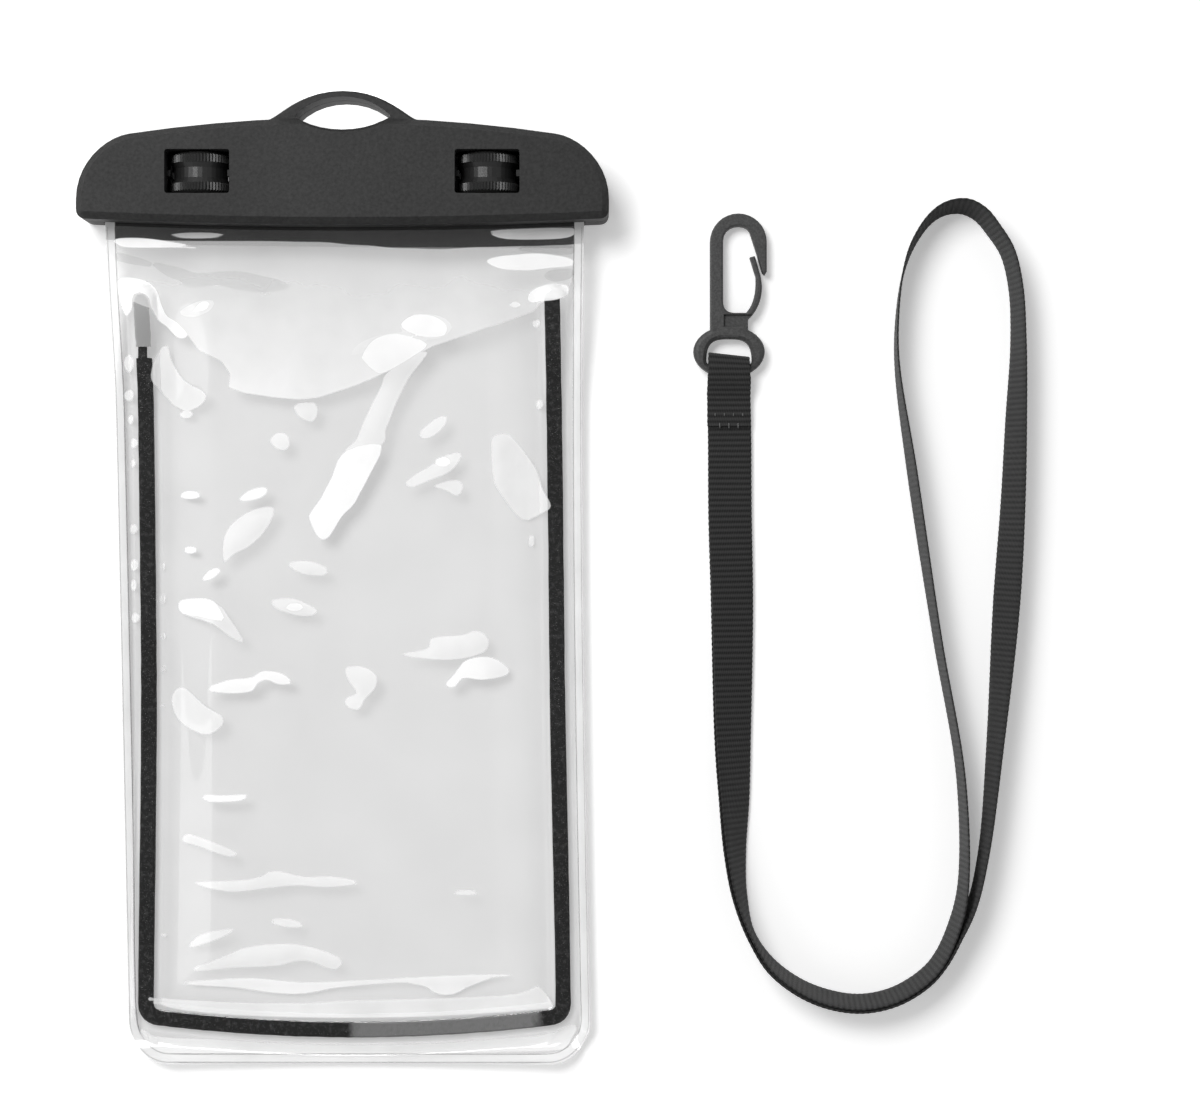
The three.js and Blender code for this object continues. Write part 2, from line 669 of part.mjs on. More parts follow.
// Grid lines of the front film, closest together along the strip's channel and the welds
function filmGrid(height) {
  const channel = STRIP_WIDTH / 2 + CHANNEL_ROOM;
  const foot = channel + CHANNEL_SLOPE;
  const weld = foot + WELD_BAND;
  const inner = [channel, foot, weld, weld + POCKET_RUN / 3, weld + POCKET_RUN, weld + 2 * POCKET_RUN];
  const leftLines = [-foot, -channel, ...inner];
  const columns = [
    (y) => -bagHalf(y),
    ...leftLines.map((offset) => (y) => stripMiddle(y) - stripHalf(y) + offset - bagMiddle(y)),
    () => 0,
    ...leftLines.toReversed().map((offset) => (y) => stripMiddle(y) + stripHalf(y) - offset - bagMiddle(y)),
    (y) => bagHalf(y),
  ];
  const pocketFoot = bagFoot + STRIP_FOOT + weld + 2 * POCKET_RUN + FILM_ROW;
  const count = Math.round((mouthEnd - pocketFoot) / FILM_ROW);
  const levels = [stripTop + channel, stripTop + channel + CHANNEL_SLOPE / 2, stripTop + foot];
  for (let i = 0; i <= count; i += 1) {
    const level = mouthEnd - ((mouthEnd - pocketFoot) * i) / count;
    if (Math.abs(level - stripTop - foot) > CHANNEL_SLOPE) levels.push(level);
  }
  const upper = levels.sort((a, b) => b - a).map((level) => () => level);
  const lower = inner.toReversed().concat([-channel, -foot]).map((offset) => (x) => stripFoot(x) + offset);
  const rounding = [0.36, 0.22, 0.11, 0.035, 0].map((share) => () => bagFoot + share * BAG_CORNER);
  const rows = [...upper, ...lower, ...rounding];
  return rows.map((row) => columns.map((column) => {
    const level = row(footHalf);
    const x = bagMiddle(level) + column(level) * cornerShare(level);
    const y = row(x);
    return new THREE.Vector3(x, y, height(x, y));
  }));
}

function backFilm() {
  const grid = filmGrid((x, y) => backHeight(y) + FLOOR_GAP);
  const keep = [0, 1, 5, 9, 13, 17, 18];
  return sheet(grid.map((row) => row.filter((_, column) => keep.includes(column))), FILM);
}

function frontFilm() {
  return sheet(filmGrid((x, y) => backHeight(y) + FLOOR_GAP + frontRise(x, y)), FILM);
}

// Route of the coloured strip's middle line, down the left side, along the foot and up the right
function stripRoute() {
  const sideSteps = 14;
  const footSteps = 16;
  const turnSteps = 4;
  const cornerTop = bagFoot + STRIP_FOOT + STRIP_CORNER;
  const tops = { [-1]: stripTop - STRIP_LEFT_DROP, 1: stripTop };
  const sidePoint = (side, y) => new THREE.Vector2(stripMiddle(y) + side * stripHalf(y), y);
  const turnX = (side) => sidePoint(side, cornerTop).x - side * STRIP_CORNER;
  const sideRun = (side) => {
    const run = [];
    for (let i = 0; i < sideSteps; i += 1) {
      run.push(sidePoint(side, tops[side] + ((cornerTop - tops[side]) * i) / (sideSteps - 1)));
    }
    const middle = new THREE.Vector2(turnX(side), stripFoot(turnX(side)) + STRIP_CORNER);
    for (let i = 1; i < turnSteps; i += 1) {
      const turn = (i / turnSteps) * (Math.PI / 2);
      const arm = new THREE.Vector2(side * Math.cos(turn), -Math.sin(turn));
      run.push(middle.clone().addScaledVector(arm, STRIP_CORNER));
    }
    return run;
  };
  const foot = [];
  for (let i = 0; i <= footSteps; i += 1) {
    const x = turnX(-1) + ((turnX(1) - turnX(-1)) * i) / footSteps;
    foot.push(new THREE.Vector2(x, stripFoot(x)));
  }
  return [...sideRun(-1), ...foot, ...sideRun(1).reverse()];
}

// The strip lies in its channel between the films
function edgeStrip() {
  const route = stripRoute();
  const half = STRIP_WIDTH / 2;
  const edge = STRIP_THICKNESS / 4;
  const section = [
    [-half, edge], [edge - half, 0], [half - edge, 0], [half, edge],
    [half, STRIP_THICKNESS - edge], [half - edge, STRIP_THICKNESS],
    [edge - half, STRIP_THICKNESS], [-half, STRIP_THICKNESS - edge],
  ];
  const rings = route.map((place, i) => {
    const before = route[Math.max(i - 1, 0)];
    const after = route[Math.min(i + 1, route.length - 1)];
    const along = after.clone().sub(before).normalize();
    const base = backHeight(place.y) + FLOOR_GAP + FILM + FIT_GAP;
    return section.map(([across, up]) => new THREE.Vector3(
      place.x - along.y * across, place.y + along.x * across, base + up,
    ));
  });
  return loft(rings);
}

// Lanyard route: X, Y and the tape's tilt in degrees from lying flat.
// The tape runs doubled from the hook down and round the foot of the lanyard,
const DOUBLED_RUN = [
  [87.5, 43.5, 0], [87.7, 34.6, 0], [87.8, 15.1, 6], [88.2, -4.4, 17], [88.3, -36.4, 37],
  [88.6, -49.1, 48], [88.8, -62.1, 63], [89.9, -72.1, 74], [92.7, -81.4, 84],
  [97.2, -88.0, 80], [103.6, -92.8, 78], [110.4, -95.5, 77], [117.7, -96.4, 78],
  [125.2, -94.8, 79], [132.0, -90.7, 80], [135.9, -86.2, 81],
];
// and parts into one open loop, up its right side, over its top and down its left side.
const OPEN_LOOP = [
  [139.3, -80.9, 82], [142.8, -73.9, 85], [145.5, -62.0, 84], [148.2, -36.3, 75],
  [150.8, -4.4, 61], [152.2, 17.8, 65], [152.9, 36.9, 70], [153.4, 54.9, 78],
  [152.8, 67.0, 80], [150.9, 75.0, 80], [147.8, 80.0, 79], [144.8, 83.6, 78],
  [141.2, 85.4, 77], [137.0, 85.0, 78], [133.2, 82.5, 80], [129.3, 76.7, 82],
  [127.0, 69.7, 85], [125.8, 60.6, 87], [125.7, 49.9, 89], [129.1, 25.3, 96],
  [135.0, -13.5, 94], [140.2, -44.0, 94], [141.0, -67.0, 96], [139.7, -75.9, 98],
];

// One station of the tape: its centre, the way across it and the way out of its face.
// Where the tape runs doubled, each strand lies half the pair's pitch out of the route.
function tapeStation(place, along, tilt, doubled) {
  const pitch = (TAPE_THICKNESS + FIT_GAP) / 2;
  const left = new THREE.Vector3(-along.y, along.x, 0);
  const up = new THREE.Vector3(0, 0, 1);
  const normal = up.clone().multiplyScalar(Math.cos(tilt)).addScaledVector(left, Math.sin(tilt));
  const across = up.clone().multiplyScalar(Math.sin(tilt)).addScaledVector(left, -Math.cos(tilt));
  const flat = Math.abs(Math.cos(tilt));
  const lift = (TAPE_WIDTH / 2) * Math.sin(tilt) + (TAPE_THICKNESS / 2 + pitch * doubled) * flat;
  const centre = new THREE.Vector3(place.x, place.y, lift + FLOOR_GAP);
  return { centre: centre.addScaledVector(normal, -pitch * doubled), across, normal, half: TAPE_WIDTH / 2 };
}

// Stations from the hook all round the loop and back to the hook, on one smooth line
function routeStations() {
  const out = DOUBLED_RUN.map(([x, y, tilt]) => [x, y, tilt, 1]);
  const open = OPEN_LOOP.map(([x, y, tilt]) => [x, y, tilt, 0]);
  const back = out.map(([x, y, tilt, doubled]) => [x, y, 180 - tilt, doubled]).reverse();
  const route = [...out, ...open, ...back];
  const line = new THREE.CatmullRomCurve3(route.map(([x, y, tilt]) => new THREE.Vector3(x, y, tilt)));
  const count = (route.length - 1) * ROUTE_STEPS;
  const stations = [];
  for (let i = 0; i <= count; i += 1) {
    const place = line.getPoint(i / count);
    const along = line.getTangent(i / count).setZ(0).normalize();
    const before = Math.min(Math.floor(i / ROUTE_STEPS), route.length - 2);
    const share = i / ROUTE_STEPS - before;
    const doubled = route[before][3] * (1 - share) + route[before + 1][3] * share;
    stations.push(tapeStation(place, along, THREE.MathUtils.degToRad(place.z), doubled));
  }
  return stations;
}

// Tape turned round the hook's bar, from over it, through the eye and under it
function wrapStations(barY, barZ) {
  const steps = 8;
  const radius = RING_SECTION / 2 + FIT_GAP + TAPE_THICKNESS / 2;
  const stations = [];
  for (let i = steps; i >= 0; i -= 1) {
    const turn = Math.PI * (0.5 + i / steps);
    const away = new THREE.Vector3(0, -Math.cos(turn), -Math.sin(turn));
    stations.push({
      centre: new THREE.Vector3(HOOK_X, barY, barZ).addScaledVector(away, radius),
      across: new THREE.Vector3(1, 0, 0),
      normal: away,
      half: TAPE_WIDTH / 2 - TAPE_PINCH,
    });
  }
  return stations;
}

// Sewn end of the tape, lying from its cut edge up over the doubled run to the bar
function flapStations(barY, barZ) {
  const top = barZ + RING_SECTION / 2 + FIT_GAP + TAPE_THICKNESS / 2;
  const rest = TAPE_THICKNESS / 2 + FLOOR_GAP + 2 * (TAPE_THICKNESS + FIT_GAP);
  const shares = [1, 0.75, FLAP_LANDING, 0.42, 0.3, 0.15];
  return shares.map((share) => {
    const landing = Math.min(share / FLAP_LANDING, 1);
    const slope = Math.sin(landing * Math.PI) * FLAP_SLOPE;
    const height = rest + (top - rest) * smooth(1 - landing);
    return {
      centre: new THREE.Vector3(HOOK_X, barY - FLAP_LENGTH * share, height),
      across: new THREE.Vector3(1, 0, 0),
      normal: new THREE.Vector3(0, -Math.sin(slope), Math.cos(slope)),
      half: TAPE_WIDTH / 2,
    };
  });
}

// One length of tape: from its sewn end round the bar, along the whole route and back
function lanyardStrap(barY, barZ) {
  const stations = [...flapStations(barY, barZ), ...wrapStations(barY, barZ), ...routeStations()];
  const thick = TAPE_THICKNESS / 2;
  let previous = null;
  const rings = stations.map(({ centre, across, normal, half }) => {
    const side = across.clone();
    const face = normal.clone();
    if (previous && previous.side.dot(side) < 0) side.negate();
    if (previous && previous.face.dot(face) < 0) face.negate();
    previous = { side, face };
    return [[-half, -thick], [half, -thick], [half, thick], [-half, thick]].map(
      ([w, t]) => centre.clone().addScaledVector(side, w).addScaledVector(face, t),
    );
  });
  return loft(rings);
}

// Snap hook, drawn about the middle of its ring's eye with Y towards the hook
function hookOutline() {
  const left = -SHANK_RIGHT;
  const archX = left + HOOK_HALF_WIDTH;
  const archY = HOOK_REACH - HOOK_HALF_WIDTH;
  const noseX = archX + HOOK_HALF_WIDTH;
  const innerLeft = left + SPINE_WIDTH;
  const innerTop = HOOK_REACH - ARCH_BAND;
  const gateLean = (GATE_TIP - GATE_BEND) / (GATE_TIP_RISE - GATE_BEND_RISE);
  const noseEdge = (y) => GATE_BEND + gateLean * (y - GATE_BEND_RISE) + GATE_GAP;
  const noseTop = GATE_TIP_RISE + GATE_TIP_SLOPE;
  const shape = new THREE.Shape();
  shape.moveTo(left, SHANK_FOOT);
  shape.lineTo(SHANK_RIGHT, SHANK_FOOT);
  shape.lineTo(SHANK_RIGHT, GATE_ROOT);
  shape.quadraticCurveTo(GATE_BELLY, GATE_ROOT + GATE_LEAD, GATE_BELLY, GATE_BELLY_RISE);
  shape.lineTo(GATE_BEND, GATE_BEND_RISE);
  shape.lineTo(GATE_TIP, GATE_TIP_RISE);
  shape.lineTo(GATE_TIP - GATE_THICKNESS, GATE_TIP_RISE - GATE_TIP_SLOPE);
  shape.lineTo(GATE_BEND - GATE_THICKNESS, GATE_BEND_RISE);
  shape.quadraticCurveTo(
    GATE_BELLY - GATE_THICKNESS, SHANK_TOP + GATE_LEAD,
    SHANK_RIGHT - HOOK_ROUNDING, SHANK_TOP,
  );
  shape.lineTo(innerLeft + SLOT_CORNER, SHANK_TOP);
  shape.quadraticCurveTo(innerLeft, SHANK_TOP, innerLeft, SHANK_TOP + SLOT_CORNER);
  shape.lineTo(innerLeft, archY);
  shape.bezierCurveTo(innerLeft, innerTop, archX + ARCH_LEAD, innerTop, NOSE_INNER, archY + NOSE_RISE);
  shape.lineTo(noseEdge(noseTop), noseTop);
  shape.lineTo(noseEdge(NOSE_TIP), NOSE_TIP);
  shape.lineTo(noseX - NOSE_CHAMFER, NOSE_TIP - NOSE_CHAMFER);
  shape.lineTo(noseX, NOSE_TIP + NOSE_CHAMFER / 2);
  shape.lineTo(noseX, archY);
  shape.absarc(archX, archY, HOOK_HALF_WIDTH, 0, Math.PI, false);
  return shape;
}

function ringHole() {
  const halfWidth = RING_HALF_WIDTH - SPINE_WIDTH;
  const halfHeight = RING_HALF_HEIGHT - SPINE_WIDTH;
  const cornerTop = RING_CORNER - halfHeight;
  const shape = new THREE.Shape();
  shape.moveTo(-halfWidth + RING_CORNER, -halfHeight);
  shape.lineTo(halfWidth - RING_CORNER, -halfHeight);
  shape.quadraticCurveTo(halfWidth, -halfHeight, halfWidth, cornerTop);
  shape.bezierCurveTo(halfWidth, halfHeight, halfWidth / 2, halfHeight, 0, halfHeight);
  shape.bezierCurveTo(-halfWidth / 2, halfHeight, -halfWidth, halfHeight, -halfWidth, cornerTop);
  shape.quadraticCurveTo(-halfWidth, -halfHeight, RING_CORNER - halfWidth, -halfHeight);
  return shape;
}

function ringSolid() {
  const half = RING_SECTION / 2;
  const oval = new THREE.EllipseCurve(0, 0, RING_HALF_WIDTH, RING_HALF_HEIGHT);
  const outline = new THREE.Shape(oval.getPoints(RING_SIDES).slice(0, -1));
  const disc = toSolid(slab(outline, -half, half, RING_ROUNDING, 3));
  return cutBy(disc, [
    toSolid(slab(ringHole(), -half - OVERRUN, half + OVERRUN)),
    flare(ringHole(), half, RING_FLARE, true),
    flare(ringHole(), -half, RING_FLARE, false),
  ]);
}

function lanyardHook() {
  const half = HOOK_THICKNESS / 2;
  const body = toSolid(slab(hookOutline(), -half, half, HOOK_ROUNDING, 2, 8));
  const recess = toSolid(block(
    [RING_SECTION - SHANK_RIGHT, SHANK_RIGHT + OVERRUN],
    [RING_HALF_HEIGHT - FIT_GAP, SHANK_TOP - SHANK_RECESS / 2],
    [half - SHANK_RECESS, half + OVERRUN],
  ));
  return body.subtract(recess).add(ringSolid());
}

// Assembly
function named(name, geometry, finish) {
  const mesh = new THREE.Mesh(geometry, finish);
  mesh.name = name;
  return mesh;
}

const pouch = new THREE.Group();
pouch.add(named('header_rear_shell', toGeometry(headerRearShell()), clampPlastic));
pouch.add(named('header_front_shell', toGeometry(headerFrontShell()), clampPlastic));
for (const [side, x] of rollerSides) {
  const thumbRoller = named(`roller_${side}`, toGeometry(roller()), rollerPlastic);
  thumbRoller.position.set(x, rollerY, rollerZ);
  pouch.add(thumbRoller);
}
pouch.add(named('rear_gasket', gasket(false), gasketRubber));
pouch.add(named('front_gasket', gasket(true), gasketRubber));
pouch.add(named('back_film', backFilm(), clearFilm));
pouch.add(named('front_film', frontFilm(), clearFilm));
pouch.add(named('edge_strip', edgeStrip(), stripRubber));

// The lanyard lies beside the pouch, its hook resting on its nose and on the tape
const barDrop = RING_HALF_HEIGHT - RING_SECTION / 2;
const barY = HOOK_Y - barDrop;
const barZ = FLOOR_GAP + TAPE_THICKNESS + FIT_GAP + RING_SECTION / 2 + FLOOR_GAP;
const hookTilt = Math.asin((barZ - HOOK_THICKNESS / 2 - FLOOR_GAP) / (HOOK_REACH + barDrop));
const lanyard = new THREE.Group();
const hookPivot = new THREE.Group();
hookPivot.position.set(HOOK_X, barY, barZ);
hookPivot.rotation.x = -hookTilt;
const hook = named('lanyard_hook', toGeometry(lanyardHook()), hookPlastic);
hook.position.set(0, barDrop, 0);
hookPivot.add(hook);
lanyard.add(named('lanyard_strap', lanyardStrap(barY, barZ), tapeWeave));
lanyard.add(hookPivot);
pouch.add(lanyard);

export default pouch;
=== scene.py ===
"""A clear waterproof phone pouch and its unclipped neck lanyard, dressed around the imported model.

Metres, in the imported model's frame: X runs along the clamp, Y from the bag's foot to the
eyelet, and Z up from the floor. The origin is under the middle of the pouch.
"""

import logging
import math
import random
from dataclasses import dataclass, field
from enum import Enum
from typing import Callable, Sequence

import bmesh
import bpy
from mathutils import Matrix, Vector, noise


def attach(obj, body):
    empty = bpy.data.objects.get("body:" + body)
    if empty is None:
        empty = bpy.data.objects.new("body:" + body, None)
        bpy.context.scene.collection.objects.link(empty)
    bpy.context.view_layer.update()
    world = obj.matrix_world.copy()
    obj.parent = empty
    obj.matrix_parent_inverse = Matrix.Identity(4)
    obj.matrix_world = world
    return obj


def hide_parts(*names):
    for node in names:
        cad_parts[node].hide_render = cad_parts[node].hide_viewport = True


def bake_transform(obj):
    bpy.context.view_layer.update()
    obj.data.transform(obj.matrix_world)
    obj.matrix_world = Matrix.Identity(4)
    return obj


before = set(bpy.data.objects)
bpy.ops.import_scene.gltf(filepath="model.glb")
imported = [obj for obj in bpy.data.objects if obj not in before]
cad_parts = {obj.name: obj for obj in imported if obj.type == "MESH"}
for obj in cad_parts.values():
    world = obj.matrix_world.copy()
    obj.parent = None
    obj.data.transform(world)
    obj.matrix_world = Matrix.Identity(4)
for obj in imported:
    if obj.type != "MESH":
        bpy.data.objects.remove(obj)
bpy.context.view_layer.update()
LOG = logging.getLogger("pouch")

MM = 0.001
FIT_GAP = 0.3 * MM
FLOOR_GAP = 0.05 * MM
NOISE_SPAN = (0.3, 0.7)  # levels between which most of a noise texture lies
WHITE = (1.0, 1.0, 1.0, 1.0)

Triple = tuple[float, float, float]


def smooth(value: float) -> float:
    """Smooth step from 0 to 1.

    Args:
        value: Share of the way, clamped to 0 and 1.

    Returns:
        The eased share.
    """
    share = min(max(value, 0.0), 1.0)
    return share * share * (3.0 - 2.0 * share)


def through(before: Vector, start: Vector, end: Vector, after: Vector, share: float) -> Vector:
    """Point of a smooth curve that passes through start and end.

    Args:
        before: Point of the curve before start.
        start: Point at share 0.
        end: Point at share 1.
        after: Point of the curve after end.
        share: Share of the way from start to end.

    Returns:
        The point.
    """
    return 0.5 * (
        2 * start + (end - before) * share + (2 * before - 5 * start + 4 * end - after) * share**2
        + (3 * start - before - 3 * end + after) * share**3
    )


def heading(route: Sequence[Vector], i: int) -> Vector:
    """Way that a route runs at one of its points."""
    return (route[min(i + 1, len(route) - 1)] - route[max(i - 1, 0)]).normalized()


def grey(level: float, warmth: float = 0.0) -> tuple[float, float, float, float]:
    """Linear colour of a grey that is given as it looks on a screen.

    Args:
        level: Screen level from 0 to 255.
        warmth: Share by which red is raised and blue is lowered.

    Returns:
        Red, green, blue and alpha.
    """
    share = level / 255.0
    linear = ((share + 0.055) / 1.055) ** 2.4 if share > 0.04045 else share / 12.92
    return (linear * (1.0 + warmth), linear, linear * (1.0 - warmth), 1.0)


@dataclass(frozen=True)
class PhotoView:
    """The photograph's view, straight down onto the floor."""

    image_px: tuple[int, int] = (1200, 1118)
    middle_px: tuple[float, float] = (600.0, 559.0)
    middle: tuple[float, float] = (57.97 * MM, 5.0 * MM)
    height: float = 650 * MM
    floor_width: float = 275.8 * MM
    sensor: float = 36.0

    def place(self, px: float, py: float, level: float = 0.0) -> Vector:
        """Point that a pixel of the photograph shows.

        Args:
            px: Pixel across, from the left.
            py: Pixel down, from the top.
            level: Height of the point above the floor.

        Returns:
            The point in the model's frame.
        """
        scale = self.floor_width / self.image_px[0] * (1.0 - level / self.height)
        across = self.middle[0] + (px - self.middle_px[0]) * scale
        along = self.middle[1] + (self.middle_px[1] - py) * scale
        return Vector((across, along, level))

    def build(self) -> bpy.types.Object:
        """Camera of the photograph's view."""
        data = bpy.data.cameras.new("photo_camera")
        data.sensor_width = self.sensor
        data.sensor_fit = "HORIZONTAL"
        data.lens = self.sensor * self.height / self.floor_width
        camera = bpy.data.objects.new("photo_camera", data)
        camera.location = (*self.middle, self.height)
        bpy.context.scene.collection.objects.link(camera)
        bpy.context.scene.camera = camera
        return camera


VIEW = PhotoView()


class NodeSheet:
    """Node tree of one material, with short calls to add and join nodes."""

    def __init__(self, name: str) -> None:
        """Starts an empty material.

        Args:
            name: Name of the material.
        """
        self.material = bpy.data.materials.new(name)
        self.material.use_nodes = True
        self.tree = self.material.node_tree
        self.tree.nodes.clear()
        self.output = self.tree.nodes.new("ShaderNodeOutputMaterial")

    def add(self, kind: str, inputs: dict | None = None, **settings: object) -> bpy.types.Node:
        """Adds one node.

        Args:
            kind: Node type, without the words ShaderNode.
            inputs: Value or socket for each named or numbered input.
            settings: Properties of the node itself.

        Returns:
            The node.
        """
        node = self.tree.nodes.new("ShaderNode" + kind)
        for key, value in settings.items():
            setattr(node, key, value)
        for key, value in (inputs or {}).items():
            if isinstance(value, bpy.types.NodeSocket):
                self.tree.links.new(value, node.inputs[key])
            else:
                node.inputs[key].default_value = value
        return node

    def coords(self, kind: str = "Object") -> bpy.types.NodeSocket:
        """Texture coordinates of one kind."""
        return self.add("TexCoord").outputs[kind]

    def math(self, operation: str, *values: object) -> bpy.types.NodeSocket:
        """Result of one maths operation on values or sockets."""
        return self.add("Math", dict(enumerate(values)), operation=operation).outputs[0]

    def grain(self, vector: object, scale: float, detail: float = 3.0) -> bpy.types.NodeSocket:
        """Level of a noise texture at a scale, in features per metre."""
        inputs = {"Vector": vector, "Scale": scale, "Detail": detail, "Roughness": 0.6}
        return self.add("TexNoise", inputs).outputs[0]

    def range(self, value: object, low: float, high: float, to_low: float, to_high: float) -> object:
        """Value moved from one range to another, and kept inside it."""
        inputs = {0: value, 1: low, 2: high, 3: to_low, 4: to_high}
        return self.add("MapRange", inputs).outputs[0]

    def blend(self, share: object, first: object, second: object) -> bpy.types.NodeSocket:
        """Colour between two colours."""
        node = self.add("Mix", data_type="RGBA")
        for index, value in ((0, share), (6, first), (7, second)):
            if isinstance(value, bpy.types.NodeSocket):
                self.tree.links.new(value, node.inputs[index])
            else:
                node.inputs[index].default_value = value
        return node.outputs[2]

    def bump(self, height: object, depth: float, strength: float = 1.0) -> bpy.types.NodeSocket:
        """Normal bent by a height of a given depth in metres."""
        inputs = {"Height": height, "Distance": depth, "Strength": strength}
        return self.add("Bump", inputs).outputs[0]

    def finish(self, shader: bpy.types.Node) -> bpy.types.Material:
        """Joins the last shader to the output and returns the material."""
        self.tree.links.new(shader.outputs[0], self.output.inputs["Surface"])
        return self.material


@dataclass(frozen=True)
class MouldedPlastic:
    """Opaque moulded plastic with an even spark-eroded grain."""

    name: str
    level: float
    roughness: float
    grain_size: float = 0.8 * MM
    grain_depth: float = 0.05 * MM
    mottle: float = 0.32
    shine: float = 0.28
    polish_spread: float = 0.04
    polish_size: float = 40

    def build(self) -> bpy.types.Material:
        """Material of this plastic."""
        sheet = NodeSheet(self.name)
        place = sheet.coords()
        fine = sheet.grain(place, 1.0 / self.grain_size)
        broad = sheet.grain(place, 1.0 / (self.polish_size * self.grain_size), 2.0)
        base = grey(self.level)
        dark = tuple(c * (1.0 - self.mottle) for c in base[:3]) + (1.0,)
        light = tuple(c * (1.0 + self.mottle) for c in base[:3]) + (1.0,)
        colour = sheet.blend(sheet.range(fine, *NOISE_SPAN, 0.0, 1.0), dark, light)
        smoother, rougher = self.roughness - self.polish_spread, self.roughness + self.polish_spread
        rough = sheet.range(broad, *NOISE_SPAN, smoother, rougher)
        shader = sheet.add("BsdfPrincipled", {
            "Base Color": colour,
            "Roughness": rough,
            "Specular IOR Level": self.shine,
            "Normal": sheet.bump(fine, self.grain_depth),
        })
        return sheet.finish(shader)


@dataclass(frozen=True)
class ClearFilm:
    """Clear flexible film, with painted highlights and painted shade where its attributes are above zero.

    The attributes bright, pale, rim and dim, and the one for the softer painted highlights, hold
    distances into a patch, in millimetres. All but dim paint reflections of the lamps as a whiter,
    faintly glowing share, rim a white band along the bag's edge; dim is painted shade.
    """

    name: str
    clearness: float
    gloss: float = 0.36
    haze: float = 0.01
    dim: float = 0.0
    patched: bool = False
    shade: float = 0.83
    clearness_spread: float = 0.004
    cloud_scale: float = 60
    cloud_spread: float = 0.15
    haze_and_highlight_level: float = 250
    mirror_roughness: float = 0.03
    rim_share: float = 0.46
    rim_shadow: float = 0.52
    pale_least: float = 0.14
    pale_top: float = 77 * MM
    pale_foot: float = 44 * MM
    # Painted shade: the film lets less light through between these levels of Y, towards the clamp.
    clamp_shade_start: float = 52 * MM
    clamp_shade_end: float = 80 * MM
    clamp_shade: float = 0.965
    bright_share: float = 0.8
    painted_highlight_share: float = 0.48
    pale_share: float = 0.56
    painted_glow: float = 0.24
    border: float = 0.1

    def patch(self, sheet: NodeSheet, attribute: str, share: object) -> bpy.types.NodeSocket:
        """Share inside the patches of one attribute, with a crisp border, where highlight or shade is
        painted.
        """
        depth = sheet.add("Attribute", attribute_name=attribute).outputs["Fac"]
        inside = sheet.range(depth, -self.border, self.border, 0.0, 1.0)
        return sheet.math("MULTIPLY", inside, share)

    def build(self) -> bpy.types.Material:
        """Material of this film."""
        sheet = NodeSheet(self.name)
        place = sheet.coords()
        drift = sheet.grain(place, self.cloud_scale, 2.0)
        cloud = sheet.range(drift, *NOISE_SPAN, 1.0 - self.cloud_spread, 1.0 + self.cloud_spread)
        haze_and_highlight_share = sheet.math("MULTIPLY", cloud, self.haze)
        greyer, clearer = self.clearness - self.clearness_spread, self.clearness + self.clearness_spread
        clear_level = sheet.range(drift, *NOISE_SPAN, greyer, clearer)
        if self.patched:
            level = sheet.add("SeparateXYZ", {0: place}).outputs[1]
            # Painted shade: the film is made darker towards the clamp.
            clamp_shade = sheet.range(level, self.clamp_shade_start, self.clamp_shade_end, 1.0, self.clamp_shade)
            clear_level = sheet.math("MULTIPLY", clear_level, clamp_shade)
            # Painted reflections of the lamps: a whiter share in the patches, strongest in the bright
            # ones; the pale patch fades towards the clamp, and the rim patch paints a white band along
            # the bag's edge.
            fading = sheet.range(level, self.pale_foot, self.pale_top, self.pale_share, self.pale_least)
            for attribute, share in (
                ("pale", fading), ("painted_highlight", self.painted_highlight_share), ("bright", self.bright_share),
                ("rim", self.rim_share),
            ):
                amount = sheet.math("MULTIPLY", self.patch(sheet, attribute, share), cloud)
                haze_and_highlight_share = sheet.math("MAXIMUM", haze_and_highlight_share, amount)
        # Painted shade: the dim patches let less light through the film.
        if self.dim:
            greyed = self.patch(sheet, "dim", self.dim)
            clear_level = sheet.math("MULTIPLY", clear_level, sheet.math("SUBTRACT", 1.0, greyed))
        loss = 1.0 - self.shade
        if self.patched:
            loss = sheet.math("ADD", self.patch(sheet, "rim", self.rim_shadow), loss)
        shadow = sheet.math("MULTIPLY", sheet.add("LightPath").outputs["Is Shadow Ray"], loss)
        passed = sheet.math("SUBTRACT", 1.0, shadow)
        clear_level = sheet.math("MULTIPLY", clear_level, passed)
        tint = sheet.add("CombineColor", {0: clear_level, 1: clear_level, 2: clear_level})
        clear = sheet.add("BsdfTransparent", {"Color": tint.outputs[0]})
        # Painted highlight: a white diffuse with a faint glow of its own, which keeps the haze and the
        # painted patches lighter than the white floor behind them.
        white = sheet.add("BsdfDiffuse", {"Color": grey(self.haze_and_highlight_level)})
        glow = sheet.add("Emission", {"Strength": self.painted_glow})
        haze_and_highlight = sheet.add("AddShader", {0: white.outputs[0], 1: glow.outputs[0]})
        outside = sheet.math("SUBTRACT", 1.0, sheet.add("NewGeometry").outputs["Backfacing"])
        body = sheet.add("MixShader", {
            0: sheet.math("MULTIPLY", haze_and_highlight_share, outside), 1: clear.outputs[0], 2: haze_and_highlight.outputs[0],
        })
        mirror = sheet.add("BsdfGlossy", {"Color": WHITE, "Roughness": self.mirror_roughness})
        edge = sheet.add("LayerWeight", {"Blend": self.gloss}).outputs["Fresnel"]
        shader = sheet.add("MixShader", {
            0: sheet.math("MULTIPLY", edge, outside), 1: body.outputs[0], 2: mirror.outputs[0],
        })
        return sheet.finish(shader)


